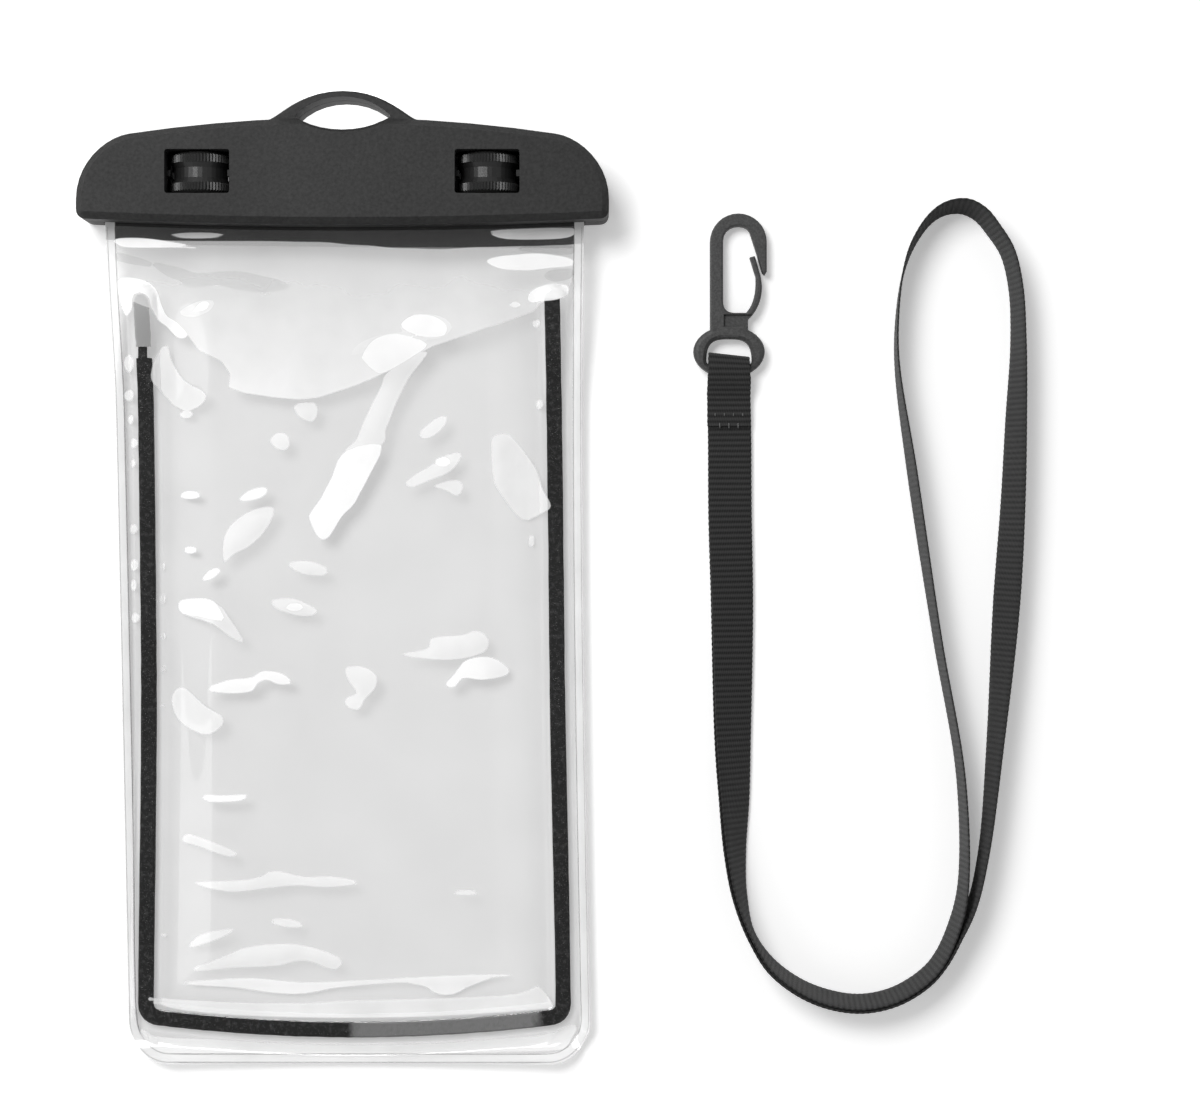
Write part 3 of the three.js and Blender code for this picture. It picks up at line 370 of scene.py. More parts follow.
@dataclass(frozen=True)
class SoftRubber:
    """Matt rubber with pale specks of dust or talc, a little random wear, and a painted grey reflection
    where the mesh's attribute marks it.
    """

    name: str
    level: float
    wear_and_reflection_level: float
    speck_size: float = 0.22 * MM
    speck_level: float = 205
    speck_share: float = 0.6
    speck_span: tuple[float, float] = (0.69, 0.74)
    wear_scale: float = 900
    wear_spread: float = 0.12
    wear_depth: float = 0.05 * MM
    roughness: float = 0.82
    shine: float = 0.2

    def build(self) -> bpy.types.Material:
        """Material of this rubber."""
        sheet = NodeSheet(self.name)
        place = sheet.coords()
        specks = sheet.grain(place, 1.0 / self.speck_size, 1.0)
        broad = sheet.grain(place, self.wear_scale)
        # Painted reflection: the mesh's attribute greys the rubber towards the lighter level, with a
        # little random wear mixed in.
        painted_reflection = sheet.add("Attribute", attribute_name="painted_reflection").outputs["Fac"]
        spread = sheet.range(broad, 0.35, 0.65, -self.wear_spread, self.wear_spread)
        worn = sheet.math("ADD", painted_reflection, spread)
        colour = sheet.blend(worn, grey(self.level), grey(self.wear_and_reflection_level))
        dust = sheet.range(specks, *self.speck_span, 0.0, self.speck_share)
        dusted = sheet.blend(dust, colour, grey(self.speck_level))
        shader = sheet.add("BsdfPrincipled", {
            "Base Color": dusted,
            "Roughness": self.roughness,
            "Specular IOR Level": self.shine,
            "Normal": sheet.bump(broad, self.wear_depth),
        })
        return sheet.finish(shader)


@dataclass(frozen=True)
class WovenTape:
    """Woven tape: crosswise ribs, with warp threads that run along it, painted shade in the weave's
    hollows and painted sheen on its crests.
    """

    name: str
    level: float
    rib_pitch: float = 1.25 * MM
    thread_pitch: float = 0.55 * MM
    contrast: float = 0.6
    rib_share: float = 0.8
    thread_share: float = 0.3
    fuzz_share: float = 0.9
    fuzz_scale: float = 5200
    weave_span: tuple[float, float] = (-0.9, 1.6)
    weave_depth: float = 0.07 * MM
    roughness: float = 0.86

    def build(self) -> bpy.types.Material:
        """Material of this tape, on the tape's own UV map in metres."""
        sheet = NodeSheet(self.name)
        split = sheet.add("SeparateXYZ", {0: sheet.add("UVMap", uv_map="tape").outputs[0]})
        along, across = split.outputs[0], split.outputs[1]
        turn = math.tau
        rib = sheet.math("SINE", sheet.math("MULTIPLY", along, turn / self.rib_pitch))
        slant = sheet.math("MULTIPLY", across, turn / self.thread_pitch)
        twill = sheet.math("ADD", slant, sheet.math("MULTIPLY", along, math.pi / self.rib_pitch))
        thread = sheet.math("SINE", twill)
        fuzz = sheet.grain(sheet.coords(), self.fuzz_scale, 2.0)
        weave = sheet.math("ADD", sheet.math("MULTIPLY", rib, self.rib_share),
                           sheet.math("MULTIPLY", thread, self.thread_share))
        rough_weave = sheet.math("ADD", weave, sheet.math("MULTIPLY", fuzz, self.fuzz_share))
        height = sheet.range(rough_weave, *self.weave_span, 0.0, 1.0)
        # Painted shade and sheen: the weave's hollows are coloured darker and its crests lighter, by the
        # contrast.
        hollow_shade = grey(self.level * (1 - self.contrast))
        crest_sheen = grey(self.level * (1 + self.contrast))
        colour = sheet.blend(height, hollow_shade, crest_sheen)
        shader = sheet.add("BsdfPrincipled", {
            "Base Color": colour,
            "Roughness": self.roughness,
            "Specular IOR Level": 0.25,
            "Sheen Weight": 0.12,
            "Sheen Roughness": 0.5,
            "Normal": sheet.bump(rough_weave, self.weave_depth),
        })
        return sheet.finish(shader)


@dataclass(frozen=True)
class SewingThread:
    """Twisted polyester thread with a faint shine."""

    name: str
    level: float
    strand_scale: float = 9000
    strand_depth: float = 0.03 * MM
    roughness: float = 0.45

    def build(self) -> bpy.types.Material:
        """Material of this thread."""
        sheet = NodeSheet(self.name)
        strands = sheet.grain(sheet.coords(), self.strand_scale, 2.0)
        colour = sheet.blend(strands, grey(self.level * 0.8), grey(self.level * 1.15))
        shader = sheet.add("BsdfPrincipled", {
            "Base Color": colour,
            "Roughness": self.roughness,
            "Normal": sheet.bump(strands, self.strand_depth),
        })
        return sheet.finish(shader)


CLAMP_PLASTIC = MouldedPlastic("clamp_plastic", level=42, roughness=0.55)
ROLLER_PLASTIC = MouldedPlastic("roller_plastic", level=34, roughness=0.36, grain_depth=0.008 * MM,
                                mottle=0.08, shine=0.55)
HOOK_PLASTIC = MouldedPlastic("hook_plastic", level=70, roughness=0.5, grain_size=0.5 * MM)
# Dim paints shade: patches on the front film, and on the back film a dark band below the clamp.
FRONT_FILM = ClearFilm("clear_film_front", clearness=0.993, dim=0.09, patched=True)
BACK_FILM = ClearFilm("clear_film_back", clearness=0.993, gloss=0.1, dim=0.72)
WELD_FILM = ClearFilm("welded_film", clearness=0.8, gloss=0.4, shade=1.0)
# Grey translucent film over the strip's left end; its haze carries the faint painted glow.
GREY_CHANNEL = ClearFilm("grey_channel_film", clearness=0.86, gloss=0.4, haze=0.12)
STRIP_RUBBER = SoftRubber("strip_rubber", level=24, wear_and_reflection_level=140)
GASKET_RUBBER = SoftRubber("gasket_rubber", level=145, wear_and_reflection_level=145)
TAPE_WEAVE = WovenTape("tape_webbing", level=37)
TAPE_THREAD = SewingThread("tape_thread", level=100)


def deselect() -> None:
    """Deselects every object."""
    bpy.ops.object.select_all(action="DESELECT")


def dress(piece: bpy.types.Object, finish: bpy.types.Material) -> None:
    """Gives a new piece its material.

    Args:
        piece: The piece.
        finish: Its material.
    """
    piece.data.materials.clear()
    piece.data.materials.append(finish)


def dress_node(node: str, finish: bpy.types.Material) -> None:
    """Puts a material into every slot of a CAD node."""
    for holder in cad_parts[node].material_slots:
        holder.material = finish


def apply_modifiers(piece: bpy.types.Object) -> None:
    """Applies all of a piece's modifiers."""
    deselect()
    piece.select_set(True)
    bpy.context.view_layer.objects.active = piece
    for modifier in list(piece.modifiers):
        bpy.ops.object.modifier_apply(modifier=modifier.name)


def shade(piece: bpy.types.Object, angle: float = 40.0) -> None:
    """Shades a piece smooth, apart from edges sharper than an angle in degrees."""
    deselect()
    piece.select_set(True)
    bpy.context.view_layer.objects.active = piece
    bpy.ops.object.shade_smooth_by_angle(angle=math.radians(angle))


def mesh_piece(name: str, points: Sequence[Vector], faces: Sequence[Sequence[int]]) -> bpy.types.Object:
    """New mesh object at the origin.

    Args:
        name: Name of the piece.
        points: Its vertices in the model's frame.
        faces: Its faces as vertex numbers.

    Returns:
        The object.
    """
    data = bpy.data.meshes.new(name)
    data.from_pydata([tuple(point) for point in points], [], faces)
    data.validate()
    piece = bpy.data.objects.new(name, data)
    bpy.context.scene.collection.objects.link(piece)
    return piece


def lofted(name: str, rings: Sequence[Sequence[Vector]]) -> bpy.types.Object:
    """Closed piece through a row of sections with as many points each.

    Args:
        name: Name of the piece.
        rings: Its sections, each a ring of points.

    Returns:
        The piece, with its faces turned outwards.
    """
    size = len(rings[0])
    faces: list[tuple[int, ...]] = []
    for i in range(len(rings) - 1):
        for j in range(size):
            following = (j + 1) % size
            faces.append((i * size + j, i * size + following,
                          (i + 1) * size + following, (i + 1) * size + j))
    last = (len(rings) - 1) * size
    faces.append(tuple(reversed(range(size))))
    faces.append(tuple(range(last, last + size)))
    piece = mesh_piece(name, [point for ring in rings for point in ring], faces)
    shell = bmesh.new()
    shell.from_mesh(piece.data)
    bmesh.ops.recalc_face_normals(shell, faces=shell.faces)
    shell.to_mesh(piece.data)
    shell.free()
    return piece


@dataclass(frozen=True)
class TapeStation:
    """One place along the tape: its centre, the way across it and the way out of its face."""

    centre: Vector
    across: Vector
    normal: Vector
    half: float


@dataclass
class Lanyard:
    """Neck lanyard: woven tape, doubled and sewn round the ring of a snap hook."""

    tape_width: float = 10 * MM
    tape_thickness: float = 0.5 * MM
    pinch: float = 0.25 * MM
    flap_length: float = 12.5 * MM
    ring_section: float = 3.1 * MM
    bar: tuple[float, float, float] = (87.5 * MM, 48.0 * MM, 2.45 * MM)
    rib_pitch: float = 1.25 * MM
    rib_depth: float = 0.1 * MM
    rib_profile: tuple[float, ...] = (0.0, 0.5, 1.0, 0.5)
    edge_thickness: float = 0.62
    loop_slack: float = 1.5 * MM
    loop_slant: float = 0.11
    flap_shares: tuple[float, ...] = (1.0, 0.75, 0.55, 0.42, 0.3, 0.15)
    flap_landing: float = 0.55
    flap_slope: float = 0.5
    section_shares: tuple[float, ...] = (-1.0, -0.93, -0.62, -0.2, 0.2, 0.62, 0.93, 1.0)
    route_steps: int = 6
    wrap_steps: int = 10
    stitch_pitch: float = 2.1 * MM
    stitch_radius: float = 0.13 * MM
    stitch_rows_px: tuple[float, float] = (415, 426)
    stitch_counts: tuple[int, int] = (4, 3)
    stitch_lengths: tuple[float, float] = (0.7 * MM, 1.2 * MM)
    doubled_run: list[Triple] = field(default_factory=lambda: [
        (0.0875, 0.0435, 0), (0.0877, 0.0346, 0), (0.0878, 0.0151, 6), (0.0882, -0.0044, 17),
        (0.0883, -0.0364, 37), (0.0886, -0.0491, 48), (0.0888, -0.0621, 63),
        (0.0899, -0.0721, 74), (0.0927, -0.0814, 84), (0.0972, -0.0880, 80),
        (0.1036, -0.0928, 78), (0.1104, -0.0955, 77), (0.1177, -0.0964, 78),
        (0.1252, -0.0948, 79), (0.1320, -0.0907, 80), (0.1359, -0.0862, 81),
    ])
    right_side: list[Triple] = field(default_factory=lambda: [
        (0.1393, -0.0809, 82), (0.1428, -0.0739, 85), (0.1455, -0.0620, 84),
        (0.1482, -0.0363, 75), (0.1508, -0.0044, 61), (0.1522, 0.0178, 65),
        (0.1529, 0.0369, 70), (0.1534, 0.0549, 78), (0.1528, 0.0670, 80),
        (0.1509, 0.0750, 80), (0.1478, 0.0800, 79), (0.1448, 0.0836, 78), (0.1412, 0.0854, 77),
    ])
    left_side: list[Triple] = field(default_factory=lambda: [
        (0.1370, 0.0850, 78), (0.1332, 0.0825, 80), (0.1293, 0.0767, 82),
        (0.1270, 0.0697, 85), (0.1258, 0.0606, 87), (0.1257, 0.0499, 89),
        (0.1291, 0.0253, 96), (0.1350, -0.0135, 94), (0.1402, -0.0440, 94),
        (0.1410, -0.0670, 96), (0.1397, -0.0759, 98),
    ])

    def route(self) -> list[tuple[Vector, float]]:
        """Points all round the lanyard, each with how doubled the tape is there.

        Returns:
            X and Y in millimetres with the tilt in degrees, and 1 where the tape runs doubled.
        """
        def marked(points: Sequence[Triple], doubled: float) -> list[tuple[Vector, float]]:
            """Points of one stretch with their mark."""
            return [(Vector((x / MM, y / MM, tilt)), doubled) for x, y, tilt in points]
        back = [(x, y, 180 - tilt) for x, y, tilt in reversed(self.doubled_run)]
        there = marked(self.doubled_run, 1.0)
        return there + marked(self.right_side + self.left_side, 0.0) + marked(back, 1.0)

    @staticmethod
    def eased_place(near: Sequence[Vector], share: float) -> Vector:
        """Point part of the way from the second to the third of four points.

        Args:
            near: Four points in a row.
            share: Share of the way.

        Returns:
            The point on a smooth curve that doesn't swing out where the points lie unevenly.
        """
        gaps = [math.sqrt((near[i + 1] - near[i]).length) for i in range(3)]
        start = (near[1] - near[0]) / gaps[0] - (near[2] - near[0]) / (gaps[0] + gaps[1])
        start = (start + (near[2] - near[1]) / gaps[1]) * gaps[1]
        end = (near[2] - near[1]) / gaps[1] - (near[3] - near[1]) / (gaps[1] + gaps[2])
        end = (end + (near[3] - near[2]) / gaps[2]) * gaps[1]
        step = near[2] - near[1]
        return near[1] + start * share + (3 * step - 2 * start - end) * share**2 + (
            start + end - 2 * step) * share**3

    def station(self, place: Vector, along: Vector, doubled: float) -> TapeStation:
        """Station of the tape at one point of its route.

        Args:
            place: X and Y in millimetres, and the tilt from lying flat in degrees.
            along: The way that the route runs.
            doubled: 1 where the tape runs doubled, and 0 where it runs alone.

        Returns:
            The station.
        """
        tilt = math.radians(place.z)
        pitch = (self.tape_thickness + FIT_GAP) / 2
        along = Vector((along.x, along.y, 0.0)).normalized()
        left = Vector((-along.y, along.x, 0.0))
        up = Vector((0.0, 0.0, 1.0))
        normal = up * math.cos(tilt) + left * math.sin(tilt)
        across = up * math.sin(tilt) - left * math.cos(tilt)
        half = self.tape_width / 2
        flat = abs(math.cos(tilt))
        lift = half * math.sin(tilt) + (self.tape_thickness / 2 + pitch * doubled) * flat
        centre = Vector((place.x * MM, place.y * MM, lift + FLOOR_GAP)) - normal * pitch * doubled
        return TapeStation(centre, across, normal, half)

    def route_stations(self) -> list[TapeStation]:
        """Stations from the hook all round the loop and back to the hook."""
        route = self.route()
        places = [place for place, _ in route]
        padded = [2 * places[0] - places[1], *places, 2 * places[-1] - places[-2]]
        stations = []
        for i in range(len(route) - 1):
            near = padded[i:i + 4]
            last = i == len(route) - 2
            for k in range(self.route_steps + last):
                share = k / self.route_steps
                place = self.eased_place(near, share)
                nudge = 0.01 if share < 1.0 else -0.01
                along = (self.eased_place(near, share + nudge) - place) * math.copysign(1.0, nudge)
                doubled = route[i][1] * (1 - share) + route[i + 1][1] * share
                stations.append(self.station(place, along, doubled))
        return stations

    def wrap(self) -> list[TapeStation]:
        """Stations round the hook's bar, from over it, through the eye and under it."""
        radius = self.ring_section / 2 + FIT_GAP + self.tape_thickness / 2
        half = self.tape_width / 2 - self.pinch
        stations = []
        for i in range(self.wrap_steps, -1, -1):
            turn = math.pi * (0.5 + i / self.wrap_steps)
            away = Vector((0.0, -math.cos(turn), -math.sin(turn)))
            slack = max(away.y, 0.0)
            centre = Vector(self.bar) + away * radius + Vector((0.0, self.loop_slack * slack, 0.0))
            across = Vector((1.0, -self.loop_slant * slack, 0.0)).normalized()
            normal = (away - across * away.dot(across)).normalized()
            stations.append(TapeStation(centre, across, normal, half))
        return stations

    def flap(self) -> list[TapeStation]:
        """Stations of the sewn end, from its cut edge up to the bar."""
        top = self.bar[2] + self.ring_section / 2 + FIT_GAP + self.tape_thickness / 2
        rest = self.tape_thickness / 2 + FLOOR_GAP + 2 * (self.tape_thickness + FIT_GAP)
        stations = []
        for share in self.flap_shares:
            landing = min(share / self.flap_landing, 1.0)
            slope = self.flap_slope * math.sin(landing * math.pi)
            height = rest + (top - rest) * smooth(1 - landing)
            centre = Vector((self.bar[0], self.bar[1] - self.flap_length * share, height))
            normal = Vector((0.0, -math.sin(slope), math.cos(slope)))
            stations.append(TapeStation(centre, Vector((1.0, 0.0, 0.0)), normal, self.tape_width / 2))
        return stations

    def even_stations(self, stations: Sequence[TapeStation]) -> list[TapeStation]:
        """Stations of a smooth tape, a few for each rib.

        Args:
            stations: Given stations.

        Returns:
            Closely spaced stations on a smooth curve through them.
        """
        turned = [stations[0]]
        for station in stations[1:]:
            before = turned[-1]
            across = station.across if before.across.dot(station.across) >= 0 else -station.across
            normal = station.normal if before.normal.dot(station.normal) >= 0 else -station.normal
            turned.append(TapeStation(station.centre, across, normal, station.half))
        step = self.rib_pitch / len(self.rib_profile)
        found: list[TapeStation] = []
        for i in range(len(turned) - 1):
            near = [turned[max(i - 1, 0)], turned[i], turned[i + 1], turned[min(i + 2, len(turned) - 1)]]
            count = max(2, round((near[2].centre - near[1].centre).length / step))
            for k in range(count):
                found.append(self.between(near, k / count))
        found.append(turned[-1])
        return found

    @staticmethod
    def between(near: Sequence[TapeStation], share: float) -> TapeStation:
        """Station part of the way from the second to the third of four stations.

        Args:
            near: Four stations in a row.
            share: Share of the way.

        Returns:
            The station on a smooth curve through them.
        """
        across = near[1].across.lerp(near[2].across, share).normalized()
        normal = near[1].normal.lerp(near[2].normal, share)
        normal = (normal - across * normal.dot(across)).normalized()
        half = near[1].half + (near[2].half - near[1].half) * share
        centre = through(*(station.centre for station in near), share)
        return TapeStation(centre, across, normal, half)

    def strand(self, name: str, stations: Sequence[TapeStation]) -> tuple[bpy.types.Object, list[Vector]]:
        """Tape along a row of stations, with its crosswise ribs and thinner edges.

        Args:
            name: Name of the piece.
            stations: Given stations.

        Returns:
            The tape and its centre line.
        """
        even = self.even_stations(stations)
        shares = self.section_shares
        rings: list[list[Vector]] = []
        marks: list[tuple[float, float]] = []
        travelled = 0.0
        for i, station in enumerate(even):
            if i:
                travelled += (station.centre - even[i - 1].centre).length
            rib = self.rib_depth * self.rib_profile[i % len(self.rib_profile)]
            ring = []
            for side in (1, -1):
                for share in shares if side == 1 else reversed(shares):
                    on_edge = abs(share) == 1.0
                    thick = (self.tape_thickness - rib) / 2 * (self.edge_thickness if on_edge else 1.0)
                    wide = station.half - (rib if on_edge else 0.0)
                    ring.append(station.centre + station.across * wide * share
                                + station.normal * thick * side)
                    marks.append((travelled, station.half * share))
            rings.append(ring)
        piece = lofted(name, rings)
        layer = piece.data.uv_layers.new(name="tape")
        for loop in piece.data.loops:
            layer.data[loop.index].uv = marks[loop.vertex_index]
        shade(piece, 50)
        return piece, [station.centre for station in even]

    @staticmethod
    def length(path: Sequence[Vector]) -> float:
        """Length of a line of points."""
        return sum((path[i + 1] - path[i]).length for i in range(len(path) - 1))

    def build(self) -> None:
        tape = TAPE_WEAVE.build()
        stations = self.route_stations()
        points_before = len(self.doubled_run) + len(self.right_side) - 1
        top = points_before * self.route_steps + self.route_steps // 2
        first, first_path = self.strand("lanyard_tape_right", [
            *self.flap(), *self.wrap(), *stations[:top + 1],
        ])
        second, second_path = self.strand("lanyard_tape_left", stations[top:])
        stitches = self.stitching()
        for piece in (first, second):
            dress(piece, tape)
            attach(piece, "root")
            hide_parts("lanyard_strap")
        tuple(first_path[0])
        self.length(first_path)
        [tuple(point) for point in first_path]
        tuple(second_path[0])
        self.length(second_path)
        [tuple(point) for point in second_path]
        dress_node("lanyard_hook", HOOK_PLASTIC.build())
        LOG.info("lanyard: %.0f mm of tape", 1000 * (self.length(first_path) + self.length(second_path)))

    def stitching(self) -> bpy.types.Object:
        """Two rows of stitches that hold the tape's end down, seen on its upper face."""
        rest = self.tape_thickness + FLOOR_GAP + 2 * (self.tape_thickness + FIT_GAP)
        made = []
        for row_px, count, reach in zip(self.stitch_rows_px, self.stitch_counts, self.stitch_lengths):
            row_y = VIEW.place(0, row_px).y
            for i in range(count):
                across = self.bar[0] + (i - (count - 1) / 2) * self.stitch_pitch
                made.append(self.stitch(Vector((across, row_y, rest)), reach))
        deselect()
        for piece in made:
            piece.select_set(True)
        bpy.context.view_layer.objects.active = made[0]
        bpy.ops.object.join()
        joined = bpy.context.view_layer.objects.active
        joined.name = "tape_stitches"
        shade(joined, 60)
        dress(joined, TAPE_THREAD.build())
        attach(joined, "root")
        return joined

    def stitch(self, place: Vector, reach: float) -> bpy.types.Object:
        """One stitch: a short thread that arches out of the tape and back.

        Args:
            place: Middle of the stitch on the tape's face.
            reach: Length of the stitch along the tape.

        Returns:
            The stitch.
        """
        deselect()
        bpy.ops.mesh.primitive_cylinder_add(vertices=8, radius=self.stitch_radius, depth=reach,
                                            location=(0, 0, 0), rotation=(math.pi / 2, 0, 0))
        piece = bpy.context.view_layer.objects.active
        bpy.ops.object.transform_apply(location=True, rotation=True, scale=True)
        bpy.ops.object.mode_set(mode="EDIT")
        bpy.ops.mesh.select_all(action="SELECT")
        for share in (-0.3, -0.1, 0.1, 0.3):
            bpy.ops.mesh.bisect(plane_co=(0, share * reach, 0), plane_no=(0, 1, 0))
            bpy.ops.mesh.select_all(action="SELECT")
        bpy.ops.object.mode_set(mode="OBJECT")
        for vertex in piece.data.vertices:
            share = vertex.co.y / reach
            vertex.co.z += self.stitch_radius * (1.0 - 8.0 * share * share)
            vertex.co += place
        return piece


@dataclass
class ClampHeader:
    """Two-part clamp with its thumb rollers and gaskets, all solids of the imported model."""

    shells: tuple[str, str] = ("header_rear_shell", "header_front_shell")
    rollers: tuple[str, str] = ("roller_left", "roller_right")
    gaskets: tuple[str, str] = ("rear_gasket", "front_gasket")

    def build(self) -> None:
        """Dresses the clamp's own solids."""
        for names, finish in (
            (self.shells, CLAMP_PLASTIC), (self.rollers, ROLLER_PLASTIC), (self.gaskets, GASKET_RUBBER),
        ):
            material = finish.build()
            for name in names:
                dress_node(name, material)
        LOG.info("clamp header: %d solids dressed", len(self.shells + self.rollers + self.gaskets))


Pixels = tuple[tuple[float, float], ...]


class Gleam(Enum):
    """How a patch of the slack film looks, as painted highlight, painted reflection or painted shade: its
    attribute's name.
    """

    # BRIGHT and the softer highlight member mark painted highlights, PALE a painted reflection, DIM
    # painted shade.
    BRIGHT = "bright"
    PAINTED_HIGHLIGHT = "painted_highlight"
    PALE = "pale"
    DIM = "dim"


@dataclass(frozen=True)
class FilmPatch:
    """A patch of the slack film where a highlight, reflection or shade is painted, outlined by pixels of
    the photograph.
    """

    outline_px: Pixels
    gleam: Gleam = Gleam.PAINTED_HIGHLIGHT
    rounding: int = 3

    def outline(self) -> list[Vector]:
        """Points of the patch's rounded outline in the model's frame."""
        corners = [VIEW.place(px, py, 4 * MM).to_2d() for px, py in self.outline_px]
        count = len(corners)
        points = []
        for i in range(count):
            before, start, end, after = (corners[(i + k) % count] for k in (-1, 0, 1, 2))
            for k in range(self.rounding):
                points.append(through(before, start, end, after, k / self.rounding))
        return points


def dot_patch(px: float, py: float, wide: float, tall: float | None = None,
              gleam: Gleam = Gleam.PAINTED_HIGHLIGHT) -> FilmPatch:
    """Small round patch round a pixel of the photograph.

    Args:
        px: Pixel across of its middle.
        py: Pixel down of its middle.
        wide: Half its width in pixels.
        tall: Half its height in pixels, as wide as high if not given.
        gleam: How it looks.

    Returns:
        The patch.
    """
    tall = tall or wide
    turns = [k * math.tau / 6 for k in range(6)]
    return FilmPatch(tuple((px + wide * math.cos(a), py + tall * math.sin(a)) for a in turns), gleam)


@dataclass
class ClearBag:
    """Welded bag of two clear films, with a coloured strip sealed in its seam."""

    clamp_foot: float = 80.3 * MM
    foot: float = -110.5 * MM
    mouth_end: float = 85.4 * MM
    mouth_low: float = 6.95 * MM
    mouth_half: float = 54.35 * MM
    foot_half: float = 53.15 * MM
    drift: float = 3 * MM
    lean: float = 1.4
    corner: float = 10 * MM
    landing: float = 42 * MM
    film: float = 0.4 * MM
    pocket_height: float = 3.6 * MM
    pocket_run: float = 12 * MM
    pocket_taper: float = 30 * MM
    weld_band: float = 1.9 * MM
    strip_width: float = 3.6 * MM
    strip_thickness: float = 1.6 * MM
    strip_half: float = 46.8 * MM
    strip_flare: float = 1.1 * MM
    strip_drift: float = 1.7 * MM
    strip_start: float = 16 * MM
    strip_left_drop: float = 13.4 * MM
    nub_length: float = 2.6 * MM
    bead_insets: tuple[float, ...] = (0.5 * MM, 2.2 * MM)
    bead_width: float = 0.3 * MM
    bead_height: float = 0.18 * MM
    strip_foot_rise: float = 10.6 * MM
    strip_bow: float = 3 * MM
    strip_corner: float = 3 * MM
    channel_room: float = 0.5 * MM
    channel_slope: float = 1.1 * MM
    mesh_pitch: float = 0.75 * MM
    shadow_edge_px: Pixels = ((60, 236), (110, 240), (130, 240), (200, 241), (260, 241), (320, 242),
                              (360, 245), (400, 248), (440, 249), (480, 247), (530, 246), (560, 245),
                              (600, 242))
    curl: float = 3.4 * MM
    curl_run: float = 5 * MM
    gap_run: float = 26 * MM
    rim: float = 2.2 * MM
    curl_fade: float = 36 * MM
    foot_curl: float = 0.7
    opening_start: float = 52 * MM
    opening_end: float = 79 * MM
    rim_shares: tuple[float, ...] = (0.0, 0.12, 0.25, 0.4, 0.55, 0.7, 0.85)
    corner_rises: tuple[float, ...] = (3.6 * MM, 2.8 * MM, 2.2 * MM, 1.6 * MM, 1.1 * MM, 0.65 * MM,
                                       0.35 * MM, 0.12 * MM, 0.0)
    strip_wear: float = 0.05
    grey_channel_wear: float = 0.12
    wear_seed: int = 7
    nub_width: float = 0.55
    nub_shift: float = 0.35 * MM
    # Pixels across between which a grey reflection is painted on the strip's foot.
    painted_reflection_px: tuple[float, float] = (352, 540)

    @property
    def channel_half(self) -> float:
        """Half the width of the flat top that the front film has over the strip."""
        return self.strip_width / 2 + self.channel_room

    @property
    def channel_outer(self) -> float:
        """Distance from the strip's middle to where the films meet."""
        return self.channel_half + self.channel_slope

    def down_bag(self, y: float) -> float:
        """Share of the way from the clamp down to the bag's foot."""
        return min(max((self.clamp_foot - y) / (self.clamp_foot - self.foot), 0.0), 1.0)

    def middle(self, y: float) -> float:
        """X of the bag's middle line."""
        return self.drift * self.down_bag(y) ** self.lean

    def half(self, y: float) -> float:
        """Half the bag's width."""
        flare = (self.mouth_half - self.foot_half) * (1 - self.down_bag(y)) ** 3
        return self.foot_half + flare

    def corner_share(self, y: float) -> float:
        """Share of the width that the rounded foot corners leave."""
        depth = min(max(y - self.foot, 0.0), self.corner)
        sink = self.corner - math.sqrt(self.corner**2 - (self.corner - depth) ** 2)
        return 1 - sink / self.half(y)

    def back_height(self, y: float) -> float:
        """Height of the back film's underside."""
        return self.mouth_low * smooth((y - (self.clamp_foot - self.landing)) / self.landing)

    def rest(self, x: float, y: float) -> float:
        """Height of the back film's underside, with the rim's curl off the floor."""
        right = x - self.strip_middle(y) - self.strip_reach(y)
        foot = self.strip_foot(x) - y
        share = smooth((max(right, self.foot_curl * foot) - self.channel_outer) / self.curl_run)
        settled = smooth((self.clamp_foot - y) / self.curl_fade)
        return self.back_height(y) + FLOOR_GAP + self.curl * share * settled

    def strip_middle(self, y: float) -> float:
        """X of the middle between the strip's two sides."""
        return self.strip_drift * (1 - (1 - self.down_bag(y)) ** 2)

    def strip_reach(self, y: float) -> float:
        """Half the distance between the strip's two sides."""
        return self.strip_half + self.strip_flare * smooth((self.down_bag(y) - 0.5) * 2)

    def strip_foot(self, x: float) -> float:
        """Y of the strip's bowed foot."""
        across = min(max((x - self.strip_drift) / self.strip_half, -1.0), 1.0)
        return self.foot + self.strip_foot_rise - self.strip_bow * (1 - across**2)

    def strip_top(self) -> float:
        """Y of the strip's upper ends."""
        return self.clamp_foot - self.strip_start

    def beyond_strip(self, x: float, y: float) -> float:
        """Distance from the strip's middle line, positive towards the bag's edge."""
        side = abs(x - self.strip_middle(y)) - self.strip_reach(y)
        foot = self.strip_foot(x) - y
        inner_side, inner_foot = side + self.strip_corner, foot + self.strip_corner
        if inner_side > 0.0 and inner_foot > 0.0:
            return math.hypot(inner_side, inner_foot) - self.strip_corner
        return max(side, foot)

    def pocket(self, x: float, y: float) -> float:
        """Share of the pocket's full height, inside the strip."""
        weld = self.channel_outer + self.weld_band
        inward = smooth((-self.beyond_strip(x, y) - weld) / self.pocket_run)
        return inward * smooth((self.clamp_foot - y) / self.pocket_taper)

    def front_rise(self, x: float, y: float) -> float:
        """Height of the front film above the back film's underside."""
        above = max(y - self.strip_top(), 0.0)
        distance = math.hypot(self.beyond_strip(x, y), above)
        channel = smooth(1 - (distance - self.channel_half) / self.channel_slope)
        height = channel * (self.strip_thickness + FIT_GAP)
        room = self.pocket(x, y) * (self.pocket_height - FIT_GAP)
        clear = FIT_GAP * (1 + smooth((self.clamp_foot - y) / self.gap_run))
        return self.film + clear + max(height, room)

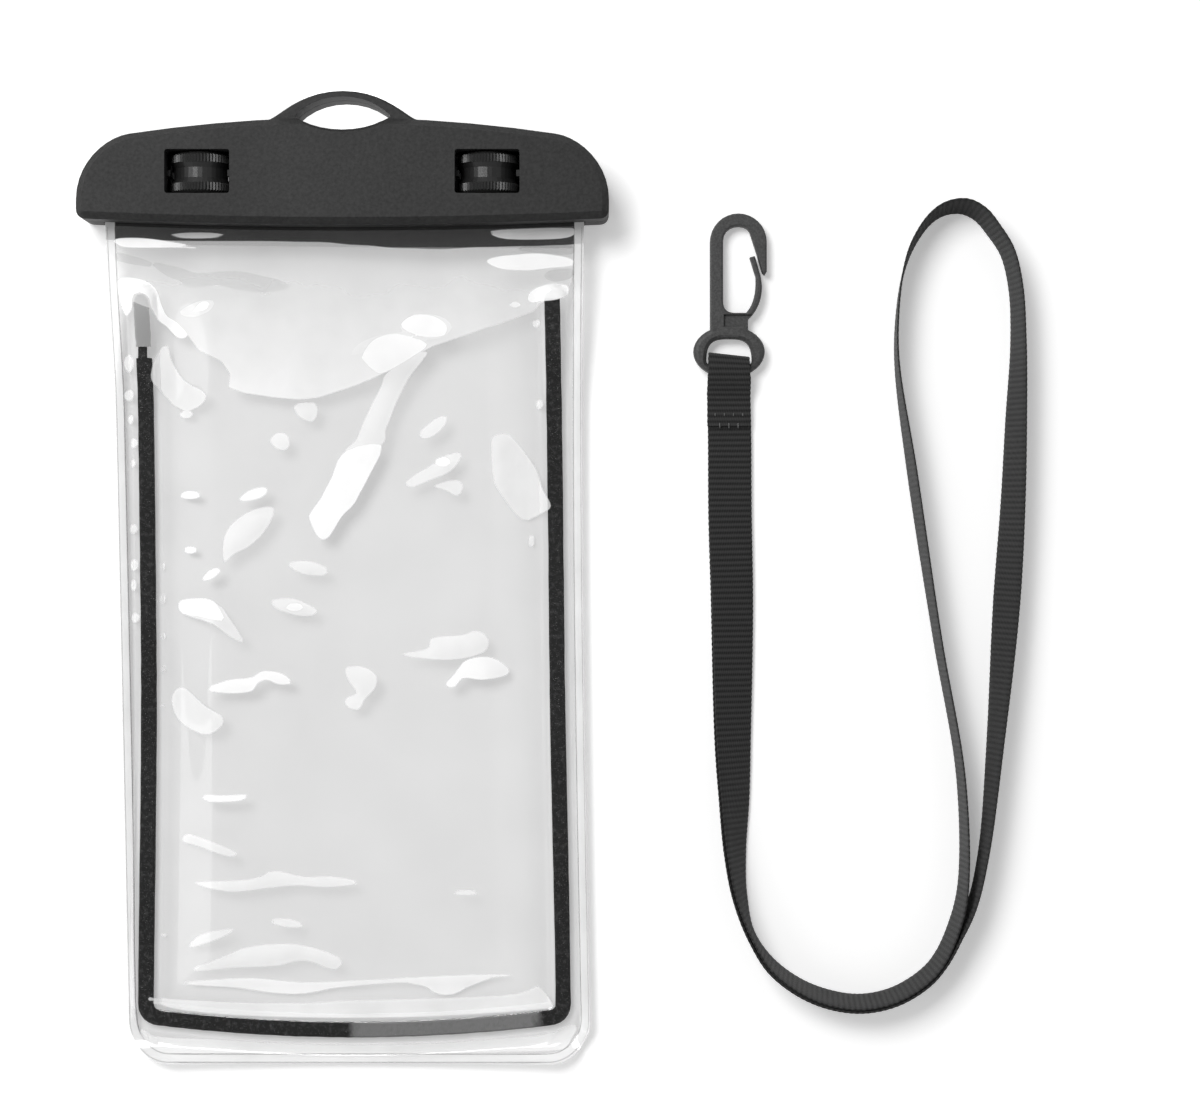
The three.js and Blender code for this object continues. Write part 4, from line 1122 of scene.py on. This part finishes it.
    def columns(self, pitch: float) -> list[Callable[[float], float]]:
        """Grid lines of a film from left to right, as X for each Y, measured from the middle.

        Args:
            pitch: Distance between grid lines in the plain middle.

        Returns:
            One function for each grid line.
        """
        channel, outer = self.channel_half, self.channel_outer
        weld = outer + self.weld_band
        near = [-outer, -outer + self.channel_slope / 2, -channel, -channel / 2, 0.0, channel / 2,
                channel, channel + self.channel_slope / 2, outer, outer + self.weld_band / 2, weld]
        inside = max(8, round(2 * (self.strip_half - weld) / pitch))

        def line(y: float, offset: float) -> float:
            """X of a line beside the strip's left side, from the bag's middle."""
            return self.strip_middle(y) - self.strip_reach(y) + offset - self.middle(y)

        def rim_line(share: float) -> Callable[[float], float]:
            """Grid line between the bag's edge and the strip's channel."""
            return lambda y: -self.half(y) + share * (line(y, -outer) + self.half(y))

        def near_line(offset: float) -> Callable[[float], float]:
            """Grid line beside the strip."""
            return lambda y: line(y, offset)

        left = [rim_line(share) for share in self.rim_shares] + [near_line(offset) for offset in near]

        def mirrored(column: Callable[[float], float]) -> Callable[[float], float]:
            """Grid line on the right for one on the left."""
            return lambda y: 2 * (self.strip_middle(y) - self.middle(y)) - column(y)

        def right_rim(share: float) -> Callable[[float], float]:
            """Grid line between the strip's right channel and the bag's edge."""
            return lambda y: self.half(y) - share * (self.half(y) - mirrored(near_line(-outer))(y))

        right = [mirrored(near_line(offset)) for offset in reversed(near)]
        right += [right_rim(share) for share in reversed(self.rim_shares)]

        def inner_line(share: float) -> Callable[[float], float]:
            """Grid line across the plain middle."""
            return lambda y: line(y, weld) + share * (mirrored(near_line(weld))(y) - line(y, weld))

        middle = [inner_line(i / inside) for i in range(1, inside)]
        return left + middle + right

    def rows(self, pitch: float) -> list[Callable[[float], float]]:
        """Grid lines of a film from mouth to foot, as Y for each X."""
        channel, outer = self.channel_half, self.channel_outer
        weld = outer + self.weld_band
        near = [weld, outer + self.weld_band / 2, outer, channel + self.channel_slope / 2, channel,
                channel / 2, 0.0, -channel / 2, -channel, -channel - self.channel_slope / 2, -outer]
        start = self.foot + self.strip_foot_rise + weld + 2 * pitch
        count = max(8, round((self.mouth_end - start) / pitch))
        upper = [self.mouth_end + (start - self.mouth_end) * i / count for i in range(count + 1)]
        lines: list[Callable[[float], float]] = [lambda x, level=level: level for level in upper]
        lines += [lambda x, offset=offset: self.strip_foot(x) + offset for offset in near]
        lines += [lambda x, rise=rise: self.foot + rise for rise in self.corner_rises]
        return lines

    def sheet_piece(self, name: str, pitch: float, height: Callable[[float, float], float],
                    marks: dict[str, Callable[[float, float], float]]) -> bpy.types.Object:
        """One film, as a grid that is laid on a height and given its thickness.

        Args:
            name: Name of the piece.
            pitch: Distance between grid lines in the plain middle.
            height: Height of the film's underside at a place.
            marks: Value at a place for each of the film's attributes.

        Returns:
            The film.
        """
        columns = self.columns(pitch)
        rows = self.rows(pitch)
        deselect()
        bpy.ops.mesh.primitive_grid_add(x_subdivisions=len(columns) - 1, y_subdivisions=len(rows) - 1,
                                        size=2.0, location=(0, 0, 0))
        piece = bpy.context.view_layer.objects.active
        piece.name = name
        piece.data.name = name
        for vertex in piece.data.vertices:
            column = columns[round((vertex.co.x + 1) / 2 * (len(columns) - 1))]
            row = rows[round((1 - vertex.co.y) / 2 * (len(rows) - 1))]
            level = row(self.foot_half)
            x = self.middle(level) + column(level) * self.corner_share(level)
            y = row(x)
            vertex.co = (x, y, height(x, y))
        for attribute, mark in marks.items():
            layer = piece.data.attributes.new(attribute, "FLOAT", "POINT")
            for vertex in piece.data.vertices:
                layer.data[vertex.index].value = mark(vertex.co.x, vertex.co.y)
        wall = piece.modifiers.new("wall", "SOLIDIFY")
        wall.thickness = self.film
        wall.offset = 1.0
        apply_modifiers(piece)
        shade(piece, 60)
        return piece

    def back_film(self) -> bpy.types.Object:
        """Back film of the bag."""
        # Painted shade: the back film is darkened in a band below the clamp.
        marks = {Gleam.DIM.value: self.under_clamp}
        return self.sheet_piece("bag_back_film", 3 * self.mesh_pitch, self.rest, marks)

    def under_clamp(self, x: float, y: float) -> float:
        """Distance in millimetres inside the band below the clamp where shade is painted."""
        edge = [VIEW.place(px, py, self.mouth_low) for px, py in self.shadow_edge_px]
        for start, end in zip(edge, edge[1:]):
            if start.x <= x < end.x:
                share = smooth((x - start.x) / (end.x - start.x))
                return (y - start.y - (end.y - start.y) * share) / MM
        return -1.0

    def from_edge(self, x: float, y: float) -> float:
        """Distance from the bag's rounded edge, positive inside it."""
        side = self.half(y) - abs(x - self.middle(y))
        foot = y - self.foot
        if side < self.corner and foot < self.corner:
            return self.corner - math.hypot(self.corner - side, self.corner - foot)
        return min(side, foot)

    def front_film(self, dents: "DentedFilm") -> bpy.types.Object:
        """Front film of the bag, with its dents and slack, and the attributes where highlights, shade and
        a white edge band are painted.
        """
        def height(x: float, y: float) -> float:
            """Height of the front film's underside."""
            return self.rest(x, y) + self.front_rise(x, y) + dents.height(x, y)
        marks = {gleam.value: lambda x, y, gleam=gleam: dents.depth(gleam, x, y) for gleam in Gleam}
        # Painted light: a white band with a faint glow along the bag's edge.
        marks["rim"] = lambda x, y: (self.rim - self.from_edge(x, y)) / MM
        return self.sheet_piece("bag_front_film", self.mesh_pitch, height, marks)

    def side_point(self, side: int, y: float) -> Vector:
        """Point of one of the strip's two sides."""
        return Vector((self.strip_middle(y) + side * self.strip_reach(y), y))

    def seal_side(self, side: int, top: float, steps: int = 44) -> list[Vector]:
        """Middle line of the strip down one side and round its corner, as far as the foot.

        Args:
            side: -1 for the left side and 1 for the right.
            top: Y where the strip starts.
            steps: Number of points down the side.

        Returns:
            The points.
        """
        corner_top = self.foot + self.strip_foot_rise + self.strip_corner
        run = [self.side_point(side, top + (corner_top - top) * i / (steps - 1)) for i in range(steps)]
        middle_x = self.side_point(side, corner_top).x - side * self.strip_corner
        middle = Vector((middle_x, self.strip_foot(middle_x) + self.strip_corner))
        turns = 6
        for i in range(1, turns):
            turn = i / turns * math.pi / 2
            run.append(middle + Vector((side * math.cos(turn), -math.sin(turn))) * self.strip_corner)
        run.append(middle - Vector((0.0, self.strip_corner)))
        return run

    def seal_route(self) -> list[Vector]:
        """Middle line of the coloured strip, down the left, along the foot and up the right."""
        foot_steps = 60
        left = self.seal_side(-1, self.strip_top() - self.strip_left_drop)
        right = self.seal_side(1, self.strip_top())
        start, end = left[-1].x, right[-1].x
        foot = []
        for i in range(1, foot_steps):
            x = start + (end - start) * i / foot_steps
            foot.append(Vector((x, self.strip_foot(x))))
        return left + foot + right[::-1]

    def seal_rings(self, route: Sequence[Vector], wear: float) -> list[list[Vector]]:
        """Sections of a strip that lies in the channel along a route.

        Args:
            route: Middle line.
            wear: Largest share by which the strip is narrower here and there.

        Returns:
            The sections.
        """
        chance = random.Random(self.wear_seed)
        half = self.strip_width / 2
        edge = self.strip_thickness / 4
        section = [(-half, edge), (edge - half, 0.0), (half - edge, 0.0), (half, edge),
                   (half, self.strip_thickness - edge), (half - edge, self.strip_thickness),
                   (edge - half, self.strip_thickness), (-half, self.strip_thickness - edge)]
        rings = []
        for i, place in enumerate(route):
            along = heading(route, i)
            base = self.back_height(place.y) + FLOOR_GAP + self.film + FIT_GAP / 2
            worn = 1.0 - wear * chance.random()
            rings.append([
                Vector((place.x - along.y * across * worn, place.y + along.x * across * worn, base + up))
                for across, up in section
            ])
        return rings

    def seal_strip(self) -> bpy.types.Object:
        """Coloured strip sealed between the films, with uneven cut edges and a painted grey reflection
        along part of its foot.
        """
        route = self.seal_route()
        rings = self.seal_rings(route, self.strip_wear)
        nub = [point.copy() for point in rings[0]]
        for point in nub:
            point.x = route[0].x - self.nub_shift + (point.x - route[0].x) * self.nub_width
        rings[:0] = [[point + Vector((0.0, self.nub_length * share, 0.0)) for point in nub]
                     for share in (1.0, 0.5, 0.05)]
        piece = lofted("bag_seal_strip", rings)
        # Painted reflection: the strip's foot is marked grey between two given places across.
        painted_reflection = piece.data.attributes.new("painted_reflection", "FLOAT", "POINT")
        start, end = (VIEW.place(px, 0).x for px in self.painted_reflection_px)
        for i, vertex in enumerate(piece.data.vertices):
            on_foot = vertex.co.y < self.foot + self.strip_foot_rise + 2 * MM
            inside = smooth((vertex.co.x - start) / MM) * smooth((end - vertex.co.x) / MM)
            painted_reflection.data[i].value = inside if on_foot else 0.0
        shade(piece, 35)
        return piece

    def grey_channel_film(self) -> bpy.types.Object:
        """Grey translucent piece in the empty channel over the strip's left end, with a faint painted
        glow.
        """
        top = self.strip_top() + self.strip_width / 4
        low = self.strip_top() - self.strip_left_drop + self.nub_length
        steps = 14
        route = [self.side_point(-1, top + (low - top) * i / steps) for i in range(steps + 1)]
        rings = self.seal_rings(route, self.grey_channel_wear)
        for i, share in enumerate((0.45, 0.8)):
            for point in rings[i]:
                point.x = route[i].x + (point.x - route[i].x) * share
        piece = lofted("bag_grey_channel", rings)
        shade(piece, 35)
        return piece

    def outline(self, inset: float) -> list[Vector]:
        """Line round the bag's sides and foot, at a distance inside its edge.

        Args:
            inset: Distance from the edge.

        Returns:
            Points from the clamp down the left, along the foot and up the right.
        """
        steps = 40
        turns = 12
        corner_top = self.foot + self.corner
        sides = {}
        for side in (-1, 1):
            run = []
            for i in range(steps + 1):
                y = self.clamp_foot + (corner_top - self.clamp_foot) * i / steps
                run.append(Vector((self.middle(y) + side * (self.half(y) - inset), y)))
            corner_x = self.middle(corner_top) + side * (self.half(corner_top) - self.corner)
            middle = Vector((corner_x, corner_top))
            for i in range(1, turns + 1):
                turn = i / turns * math.pi / 2
                arm = Vector((side * math.cos(turn), -math.sin(turn)))
                run.append(middle + arm * (self.corner - inset))
            sides[side] = run
        return sides[-1] + sides[1][::-1]

    def weld_beads(self) -> list[bpy.types.Object]:
        """Fine raised lines that the welding die left along the bag's edge."""
        beads = []
        half = self.bead_width / 2
        section = [(-half, -0.3), (-0.5 * half, 0.7), (0.0, 1.0), (0.5 * half, 0.7), (half, -0.3)]
        for number, inset in enumerate(self.bead_insets):
            route = self.outline(inset)
            rings = []
            for i, place in enumerate(route):
                along = heading(route, i)
                base = self.rest(place.x, place.y) + self.front_rise(place.x, place.y) + self.film
                rings.append([
                    Vector((place.x - along.y * across, place.y + along.x * across,
                            base + up * self.bead_height))
                    for across, up in section
                ])
            bead = lofted(f"bag_weld_bead_{number + 1}", rings)
            shade(bead, 60)
            beads.append(bead)
        return beads

    def build(self, dents: "DentedFilm") -> None:
        back = self.back_film()
        dress(back, BACK_FILM.build())
        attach(back, "root")
        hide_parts("back_film")
        front = self.front_film(dents)
        dress(front, FRONT_FILM.build())
        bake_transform(front)
        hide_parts("front_film")
        strip = self.seal_strip()
        dress(strip, STRIP_RUBBER.build())
        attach(strip, "root")
        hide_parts("edge_strip")
        grey_channel_piece = self.grey_channel_film()
        dress(grey_channel_piece, GREY_CHANNEL.build())
        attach(grey_channel_piece, "root")
        weld = WELD_FILM.build()
        for bead in self.weld_beads():
            dress(bead, weld)
            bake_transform(bead)


@dataclass
class DentedFilm:
    """Slack of the front film: broad waves, shallow lifts under the painted highlights, and the patches
    where highlights and shade are painted.
    """

    bag: ClearBag
    patches: list[FilmPatch] = field(default_factory=lambda: [
        FilmPatch(((117, 246), (116, 290), (128, 300), (167, 315), (189.5, 335.6), (200.6, 350.4),
                   (222.8, 361.5), (231, 374.5), (229.4, 387.4), (245, 393), (274.6, 397.4),
                   (300.5, 399.6), (319, 397.4), (356, 385.6), (382, 374.5), (415, 356), (433.7, 346.7),
                   (467, 335.6), (504, 322.7), (533.5, 311.6), (544.6, 302.3), (572, 285), (574, 250),
                   (340, 249)), Gleam.PALE, 1),
        FilmPatch(((154, 263.5), (182, 269), (200.6, 274.6), (237.6, 272.7), (267, 278.3), (282, 282),
                   (292, 289.4), (267, 293.8), (237.6, 291), (219, 286.4), (193, 289.4), (182, 282),
                   (171, 278.3), (160, 271)), Gleam.DIM),
        FilmPatch(((544.6, 278.3), (550, 271.6), (572, 270), (572, 278.3), (555.7, 283)), Gleam.DIM),
        FilmPatch(((517, 252), (530, 247), (572, 247), (572, 256), (545, 255)), Gleam.DIM),
        FilmPatch(((119, 254), (150, 262), (152, 268), (119, 262)), Gleam.DIM),
        FilmPatch(((117, 241), (145, 240), (182, 245), (200.6, 250), (171, 249.4), (134, 249.4),
                   (121, 246.8)), Gleam.BRIGHT),
        FilmPatch(((491, 235.7), (500, 232), (572, 230), (572, 238), (552, 241), (507.6, 241))),
        dot_patch(200, 237.5, 28, 3),
        FilmPatch(((119, 282), (128.4, 278.3), (145, 281), (157, 289.4), (161.7, 302.3), (167.3, 315.3),
                   (178.4, 322.7), (189.5, 335.6), (178.4, 337.5), (167.3, 326.4), (157, 319),
                   (152.5, 308), (150.6, 298.6), (143, 294), (136, 297), (134, 311.6), (126.6, 315.3),
                   (121, 300.5)), Gleam.BRIGHT),
        FilmPatch(((193, 315), (203, 303), (212, 304), (208, 311), (197, 313)), Gleam.BRIGHT),
        FilmPatch(((180, 313), (198, 303), (216, 302), (212, 312), (195, 318))),
        FilmPatch(((487, 263.5), (494.7, 259), (518.7, 256), (541, 255), (570.5, 259.8), (572.4, 267),
                   (552, 269), (526, 271.6), (500, 270)), Gleam.BRIGHT),
        FilmPatch(((528, 296.8), (533.5, 290), (544.6, 286.4), (566.8, 285.7), (567.6, 295),
                   (557.6, 300.5), (541, 302.3), (529.8, 302.3)), Gleam.BRIGHT),
        dot_patch(515, 305, 6, 3, Gleam.BRIGHT),
        FilmPatch(((402, 325), (415, 316), (434, 317), (447, 326), (445, 336), (426, 338), (408, 332)),
                  Gleam.BRIGHT),
        dot_patch(427, 328, 26, 13),
        FilmPatch(((363, 356), (374, 341), (393, 334.5), (411, 337.5), (428, 345), (415, 356),
                   (385.6, 372.6), (374.5, 370.8), (365, 361.5)), Gleam.BRIGHT),
        FilmPatch(((352, 356), (360, 344), (385, 335), (420, 334), (424, 344), (372, 352))),
        FilmPatch(((387, 374), (411, 356), (428, 352), (421, 363), (408, 380), (395, 406), (391, 417),
                   (385.6, 430), (382, 445), (345, 452), (356, 441), (363, 424), (372.6, 404),
                   (382, 385.6))),
        FilmPatch(((345, 452), (382, 445), (367, 480), (361, 491.5), (353.4, 505), (342, 516.4),
                   (328.5, 537.5), (319, 537.5), (311, 522), (310, 514.5), (321, 499), (332, 478)),
                  Gleam.BRIGHT),
        FilmPatch(((150.6, 374.5), (157, 352), (167, 345), (171, 359.7), (184, 380), (206, 393),
                   (202.4, 404), (189.5, 409.6), (174.7, 406), (165.4, 396.7), (154.3, 385.6))),
        dot_patch(186, 414, 7, 4),
        FilmPatch(((296.8, 404), (315.3, 403.3), (317, 415), (311.6, 421.8), (300.5, 417),
                   (295, 409.6))),
        FilmPatch(((270.9, 439), (278.3, 433), (287.5, 435.5), (289.4, 446.6), (282, 450.3),
                   (272.7, 444.8))),
        FilmPatch(((420.7, 431.8), (433.7, 420.7), (443, 416), (447.3, 418.9), (441, 430),
                   (430, 437.4), (421.8, 437.4))),
        FilmPatch(((491, 443), (494.7, 435.5), (507.6, 434.4), (522.5, 450.3), (537, 470.6), (544, 490),
                   (551, 507), (539.5, 514.5), (524, 520), (512.6, 510.7), (499, 491.5), (493, 478))),
        FilmPatch(((406, 483), (417, 474), (435.5, 463), (444.8, 456), (461.4, 453), (457.7, 463),
                   (448.5, 472.5), (430, 480), (412, 487))),
        dot_patch(443, 462, 8, 5, Gleam.BRIGHT),
        FilmPatch(((434, 486), (455, 480), (463, 486), (458, 496), (446, 490))),
        FilmPatch(((225, 562.5), (224, 541), (232.6, 524), (251.8, 510.7), (272, 506.9),
                   (272.9, 516.4), (263, 533.7), (248, 547), (232.6, 554.8))),
        FilmPatch(((240, 499), (248, 491.5), (263, 487), (268, 491.5), (259.5, 498.4), (244, 501)),
                  Gleam.BRIGHT),
        dot_patch(190, 495, 11, 4, Gleam.BRIGHT),
        dot_patch(190, 550, 7, 3.5, Gleam.BRIGHT),
        FilmPatch(((202.7, 579), (209.6, 571), (218, 568), (221, 571), (213.4, 577.8), (205.8, 580.5)),
                  Gleam.BRIGHT),
        FilmPatch(((177, 606.6), (182.7, 599.7), (202, 599), (221, 606.6), (226.9, 614), (242, 637),
                   (243.4, 643), (228.8, 635), (213.4, 623.8), (194, 618), (182.7, 614))),
        FilmPatch(((177, 606.6), (182.7, 599.7), (211.5, 599.7), (223, 614), (223, 621), (202, 617),
                   (182.7, 614)), Gleam.BRIGHT),
        FilmPatch(((290, 562.5), (309, 561), (326.6, 568), (324.7, 575), (305.5, 574), (292, 568))),
        FilmPatch(((271.7, 600.8), (290, 598), (309, 604.7), (317.8, 612), (305.5, 616), (286, 612),
                   (274.8, 606.6))),
        dot_patch(295, 607, 9, 4, Gleam.BRIGHT),
        FilmPatch(((207.7, 689), (228.8, 680), (251.8, 677.5), (263.3, 671), (282.5, 673.7), (292, 683),
                   (278.6, 684), (267, 679.5), (257.5, 683), (251.8, 691), (228.8, 693)), Gleam.BRIGHT),
        FilmPatch(((345.8, 668), (363, 666.8), (376.5, 675.6), (374.5, 689), (365, 698.6),
                   (359, 709.4), (347.7, 706.3), (345.8, 698.6), (357.3, 693), (349.6, 681.4))),
        FilmPatch(((399.5, 654.5), (428, 648.8), (432, 638), (462.8, 635), (476, 630.7), (487, 637),
                   (487, 648.8), (474, 655.7), (451, 659.5), (428, 658.4))),
        FilmPatch(((445.5, 685), (455, 673.7), (466.6, 660), (489.6, 657), (506.9, 668), (505, 675.6),
                   (482, 679.5), (462.8, 677.5), (455, 686.4)), Gleam.BRIGHT),
        FilmPatch(((170, 700.6), (175, 690), (184.7, 689), (205.8, 706.3), (222, 716), (222, 725.5),
                   (209.6, 734), (194, 731), (177, 719.7))),
        FilmPatch(((202, 795.3), (225, 795.3), (248, 794.5), (240, 800.3), (211.5, 801.4)),
                  Gleam.BRIGHT),
        FilmPatch(((182, 842.5), (186.6, 834.8), (209.6, 840.6), (236.4, 852), (228.8, 856),
                   (198, 846))),
        FilmPatch(((194, 882.8), (251.8, 879), (274.8, 870.5), (305.5, 877), (328.5, 875.9),
                   (361, 882), (328.5, 886.6), (297.8, 884.7), (259.5, 888.5), (228.8, 891))),
        dot_patch(466, 892, 14, 2.5),
        FilmPatch(((269, 921), (286, 918), (305.5, 925), (290, 926.9))),
        FilmPatch(((188.5, 948), (202, 934.5), (232.6, 928), (228.8, 933.4), (209.6, 942))),
        FilmPatch(((190.4, 971), (225, 955.6), (251.8, 946), (297.8, 944), (340, 957.6), (334, 969),
                   (305.5, 959.5), (274.8, 965.2), (232.6, 967))),
        FilmPatch(((175, 984.4), (190.4, 981.7), (251.8, 978), (305.5, 982.5), (386, 978.6),
                   (466.6, 974.8), (512.6, 974.8), (489.6, 978.6), (466.6, 988), (443.6, 994),
                   (405, 982.5), (336, 988), (290, 992), (232.6, 988)), Gleam.BRIGHT),
        FilmPatch(((147, 997), (171, 1001), (290, 1006), (345, 1005), (420, 1003), (500, 998),
                   (530, 991), (538, 988), (554, 1006), (535, 1011), (440, 1018), (340, 1020),
                   (240, 1017), (165, 1009))),
        FilmPatch(((137, 1028), (150, 1035), (200, 1040), (340, 1043), (450, 1041), (540, 1036),
                   (566, 1026), (577, 1030), (566, 1046), (545, 1053), (340, 1056), (170, 1055),
                   (147, 1046))),
        dot_patch(128.4, 394.8, 6), dot_patch(129, 363, 6, 9), dot_patch(130, 419, 4, 5),
        dot_patch(134, 443, 4, 5), dot_patch(133, 463, 3, 4), dot_patch(133, 528.7, 5),
        dot_patch(133.6, 565, 5, 6), dot_patch(133, 585.5, 4, 6), dot_patch(134.8, 618, 5),
        dot_patch(160.5, 566, 2.5, 4), dot_patch(160.5, 599, 3, 5), dot_patch(161, 636, 3),
        dot_patch(161, 669, 3), dot_patch(160.5, 706, 2), dot_patch(162, 937, 4, 2),
        dot_patch(531, 541, 3, 7), dot_patch(537, 323.4, 5, 4), dot_patch(540, 404, 4, 5),
    ])
    limit: float = 1.5
    patch_lift: float = 0.12 * MM
    patch_slope: float = 1.5
    wave_size: float = 26 * MM
    wave_stretch: float = 1.4
    wave_slice: float = 3.1
    wave_height: float = 0.35 * MM

    def __post_init__(self) -> None:
        """Works out each patch's outline and its box once."""
        self.shapes = []
        self.known: dict[tuple[float, float], dict[Gleam, float]] = {}
        for patch in self.patches:
            points = patch.outline()
            low = Vector((min(p.x for p in points), min(p.y for p in points)))
            high = Vector((max(p.x for p in points), max(p.y for p in points)))
            self.shapes.append((patch.gleam, points, low, high))

    def depths(self, x: float, y: float) -> dict[Gleam, float]:
        """Distance in millimetres into the nearest patch of each kind, kept within a limit."""
        key = (round(x, 7), round(y, 7))
        if key not in self.known:
            found = {gleam: -self.limit for gleam in Gleam}
            margin = self.limit * MM
            for gleam, points, low, high in self.shapes:
                if low.x - margin < x < high.x + margin and low.y - margin < y < high.y + margin:
                    found[gleam] = max(found[gleam], self.into_shape(points, x, y))
            self.known[key] = found
        return self.known[key]

    def into_shape(self, points: Sequence[Vector], x: float, y: float) -> float:
        """Distance in millimetres from a place to an outline, positive inside it."""
        nearest = math.inf
        inside = False
        ax, ay = points[-1]
        for bx, by in points:
            dx, dy = bx - ax, by - ay
            span = dx * dx + dy * dy
            share = min(max(((x - ax) * dx + (y - ay) * dy) / span, 0.0), 1.0) if span else 0.0
            nearest = min(nearest, (x - ax - dx * share) ** 2 + (y - ay - dy * share) ** 2)
            if (ay > y) != (by > y) and x < ax + (y - ay) * dx / dy:
                inside = not inside
            ax, ay = bx, by
        distance = min(math.sqrt(nearest) / MM, self.limit)
        return distance if inside else -distance

    def depth(self, gleam: Gleam, x: float, y: float) -> float:
        """Distance in millimetres into the nearest patch of one kind."""
        return self.depths(x, y)[gleam]

    def height(self, x: float, y: float) -> float:
        """Height that slack and patches add to the film at a place."""
        room = self.bag.pocket(x, y)
        if room <= 0.0:
            return 0.0
        along = y / (self.wave_stretch * self.wave_size)
        broad = noise.noise(Vector((x / self.wave_size, along, self.wave_slice)))
        found = self.depths(x, y)
        deepest = max(found[Gleam.BRIGHT], found[Gleam.PAINTED_HIGHLIGHT])
        lift = self.patch_lift * smooth(deepest / self.patch_slope)
        return room * (broad * self.wave_height + lift)


@dataclass(frozen=True)
class Softbox:
    """A square lamp that looks at the middle of the pouch."""

    name: str
    off_vertical: float
    heading: float
    size: tuple[float, float]
    radiance: float
    distance: float = 1.1

    def build(self, aim: Vector) -> None:
        """Adds the lamp.

        Args:
            aim: Point that it looks at.
        """
        polar = math.radians(self.off_vertical)
        turn = math.radians(self.heading)
        level = math.sin(polar)
        away = Vector((level * math.cos(turn), level * math.sin(turn), math.cos(polar)))
        data = bpy.data.lights.new(self.name, "AREA")
        data.shape = "RECTANGLE"
        data.size, data.size_y = self.size
        data.energy = self.radiance * math.pi * self.size[0] * self.size[1]
        lamp = bpy.data.objects.new(self.name, data)
        lamp.location = aim + away * self.distance
        lamp.rotation_euler = away.to_track_quat("Z", "Y").to_euler()
        bpy.context.scene.collection.objects.link(lamp)


@dataclass
class Studio:
    """Plain white floor, softboxes and an even pale surrounding."""

    aim: Vector = field(default_factory=lambda: Vector((0.01, 0.0, 0.0)))
    floor_size: float = 6.0
    floor_level: float = 250
    floor_lift: float = 0.3
    # Middle and reach of the painted pool of light round the eyelet's eye.
    eye_middle: tuple[float, float] = (0.0, 105.2 * MM)
    painted_light_reach: float = 13 * MM
    surround: float = 0.42
    overhead: float = 0.04
    overhead_span: tuple[float, float] = (0.8, 0.95)
    lamps: list[Softbox] = field(default_factory=lambda: [
        Softbox("key_softbox", 33, 128, (0.5, 0.5), 10.4),
        Softbox("side_softbox", 55, 200, (0.4, 0.7), 1.3),
    ])

    def floor(self) -> None:
        """White floor that keeps the object's shadow, apart from a painted pool of light round the
        eyelet's eye that hides the clamp's shadow there.
        """
        sheet = NodeSheet("white_floor")
        base = sheet.add("BsdfDiffuse", {"Color": grey(self.floor_level)})
        path = sheet.add("LightPath")
        seen = sheet.math("MAXIMUM", path.outputs["Is Camera Ray"],
                          sheet.math("MAXIMUM", path.outputs["Is Glossy Ray"],
                                     path.outputs["Is Transmission Ray"]))
        place = sheet.coords("Object")
        middle = (self.eye_middle[0] - self.aim.x, self.eye_middle[1] - self.aim.y, 0.0)
        away = sheet.add("VectorMath", {0: place, 1: middle}, operation="DISTANCE").outputs["Value"]
        # Painted light: within the reach round the eyelet's eye the floor glows at full white, elsewhere
        # at the even lift.
        glow = sheet.range(away, 0.8 * self.painted_light_reach, self.painted_light_reach, 1.0, self.floor_lift)
        lift = sheet.add("Emission", {"Strength": sheet.math("MULTIPLY", seen, glow)})
        shader = sheet.add("AddShader", {0: base.outputs[0], 1: lift.outputs[0]})
        deselect()
        bpy.ops.mesh.primitive_plane_add(size=self.floor_size, location=(self.aim.x, self.aim.y, 0.0))
        floor = bpy.context.view_layer.objects.active
        floor.name = "white_floor"
        floor.data.materials.append(sheet.finish(shader))

    def surroundings(self) -> None:
        """Even pale surrounding, white where the camera looks past the floor."""
        world = bpy.data.worlds.new("studio")
        world.use_nodes = True
        tree = world.node_tree
        tree.nodes.clear()
        output = tree.nodes.new("ShaderNodeOutputWorld")
        plain = tree.nodes.new("ShaderNodeBackground")
        plain.inputs["Color"].default_value = WHITE
        way = tree.nodes.new("ShaderNodeTexCoord")
        split = tree.nodes.new("ShaderNodeSeparateXYZ")
        ramp = tree.nodes.new("ShaderNodeMapRange")
        for number, value in enumerate((*self.overhead_span, self.surround, self.overhead), start=1):
            ramp.inputs[number].default_value = value
        tree.links.new(way.outputs["Generated"], split.inputs[0])
        tree.links.new(split.outputs[2], ramp.inputs[0])
        tree.links.new(ramp.outputs[0], plain.inputs["Strength"])
        white = tree.nodes.new("ShaderNodeBackground")
        white.inputs["Color"].default_value = WHITE
        path = tree.nodes.new("ShaderNodeLightPath")
        pick = tree.nodes.new("ShaderNodeMixShader")
        tree.links.new(path.outputs["Is Camera Ray"], pick.inputs[0])
        tree.links.new(plain.outputs[0], pick.inputs[1])
        tree.links.new(white.outputs[0], pick.inputs[2])
        tree.links.new(pick.outputs[0], output.inputs["Surface"])
        bpy.context.scene.world = world

    def build(self) -> None:
        """Builds floor, surroundings and lamps."""
        self.floor()
        self.surroundings()
        for lamp in self.lamps:
            lamp.build(self.aim)
        bpy.context.scene.view_settings.view_transform = "Standard"
        LOG.info("studio: %d lamps", len(self.lamps))


def main() -> None:
    """Builds the camera, the lanyard, the clamp, the bag and the studio."""
    logging.basicConfig(level=logging.INFO, format="%(name)s: %(message)s")
    VIEW.build()
    Lanyard().build()
    ClampHeader().build()
    bag = ClearBag()
    bag.build(DentedFilm(bag))
    Studio().build()


if __name__ == "__main__":
    main()
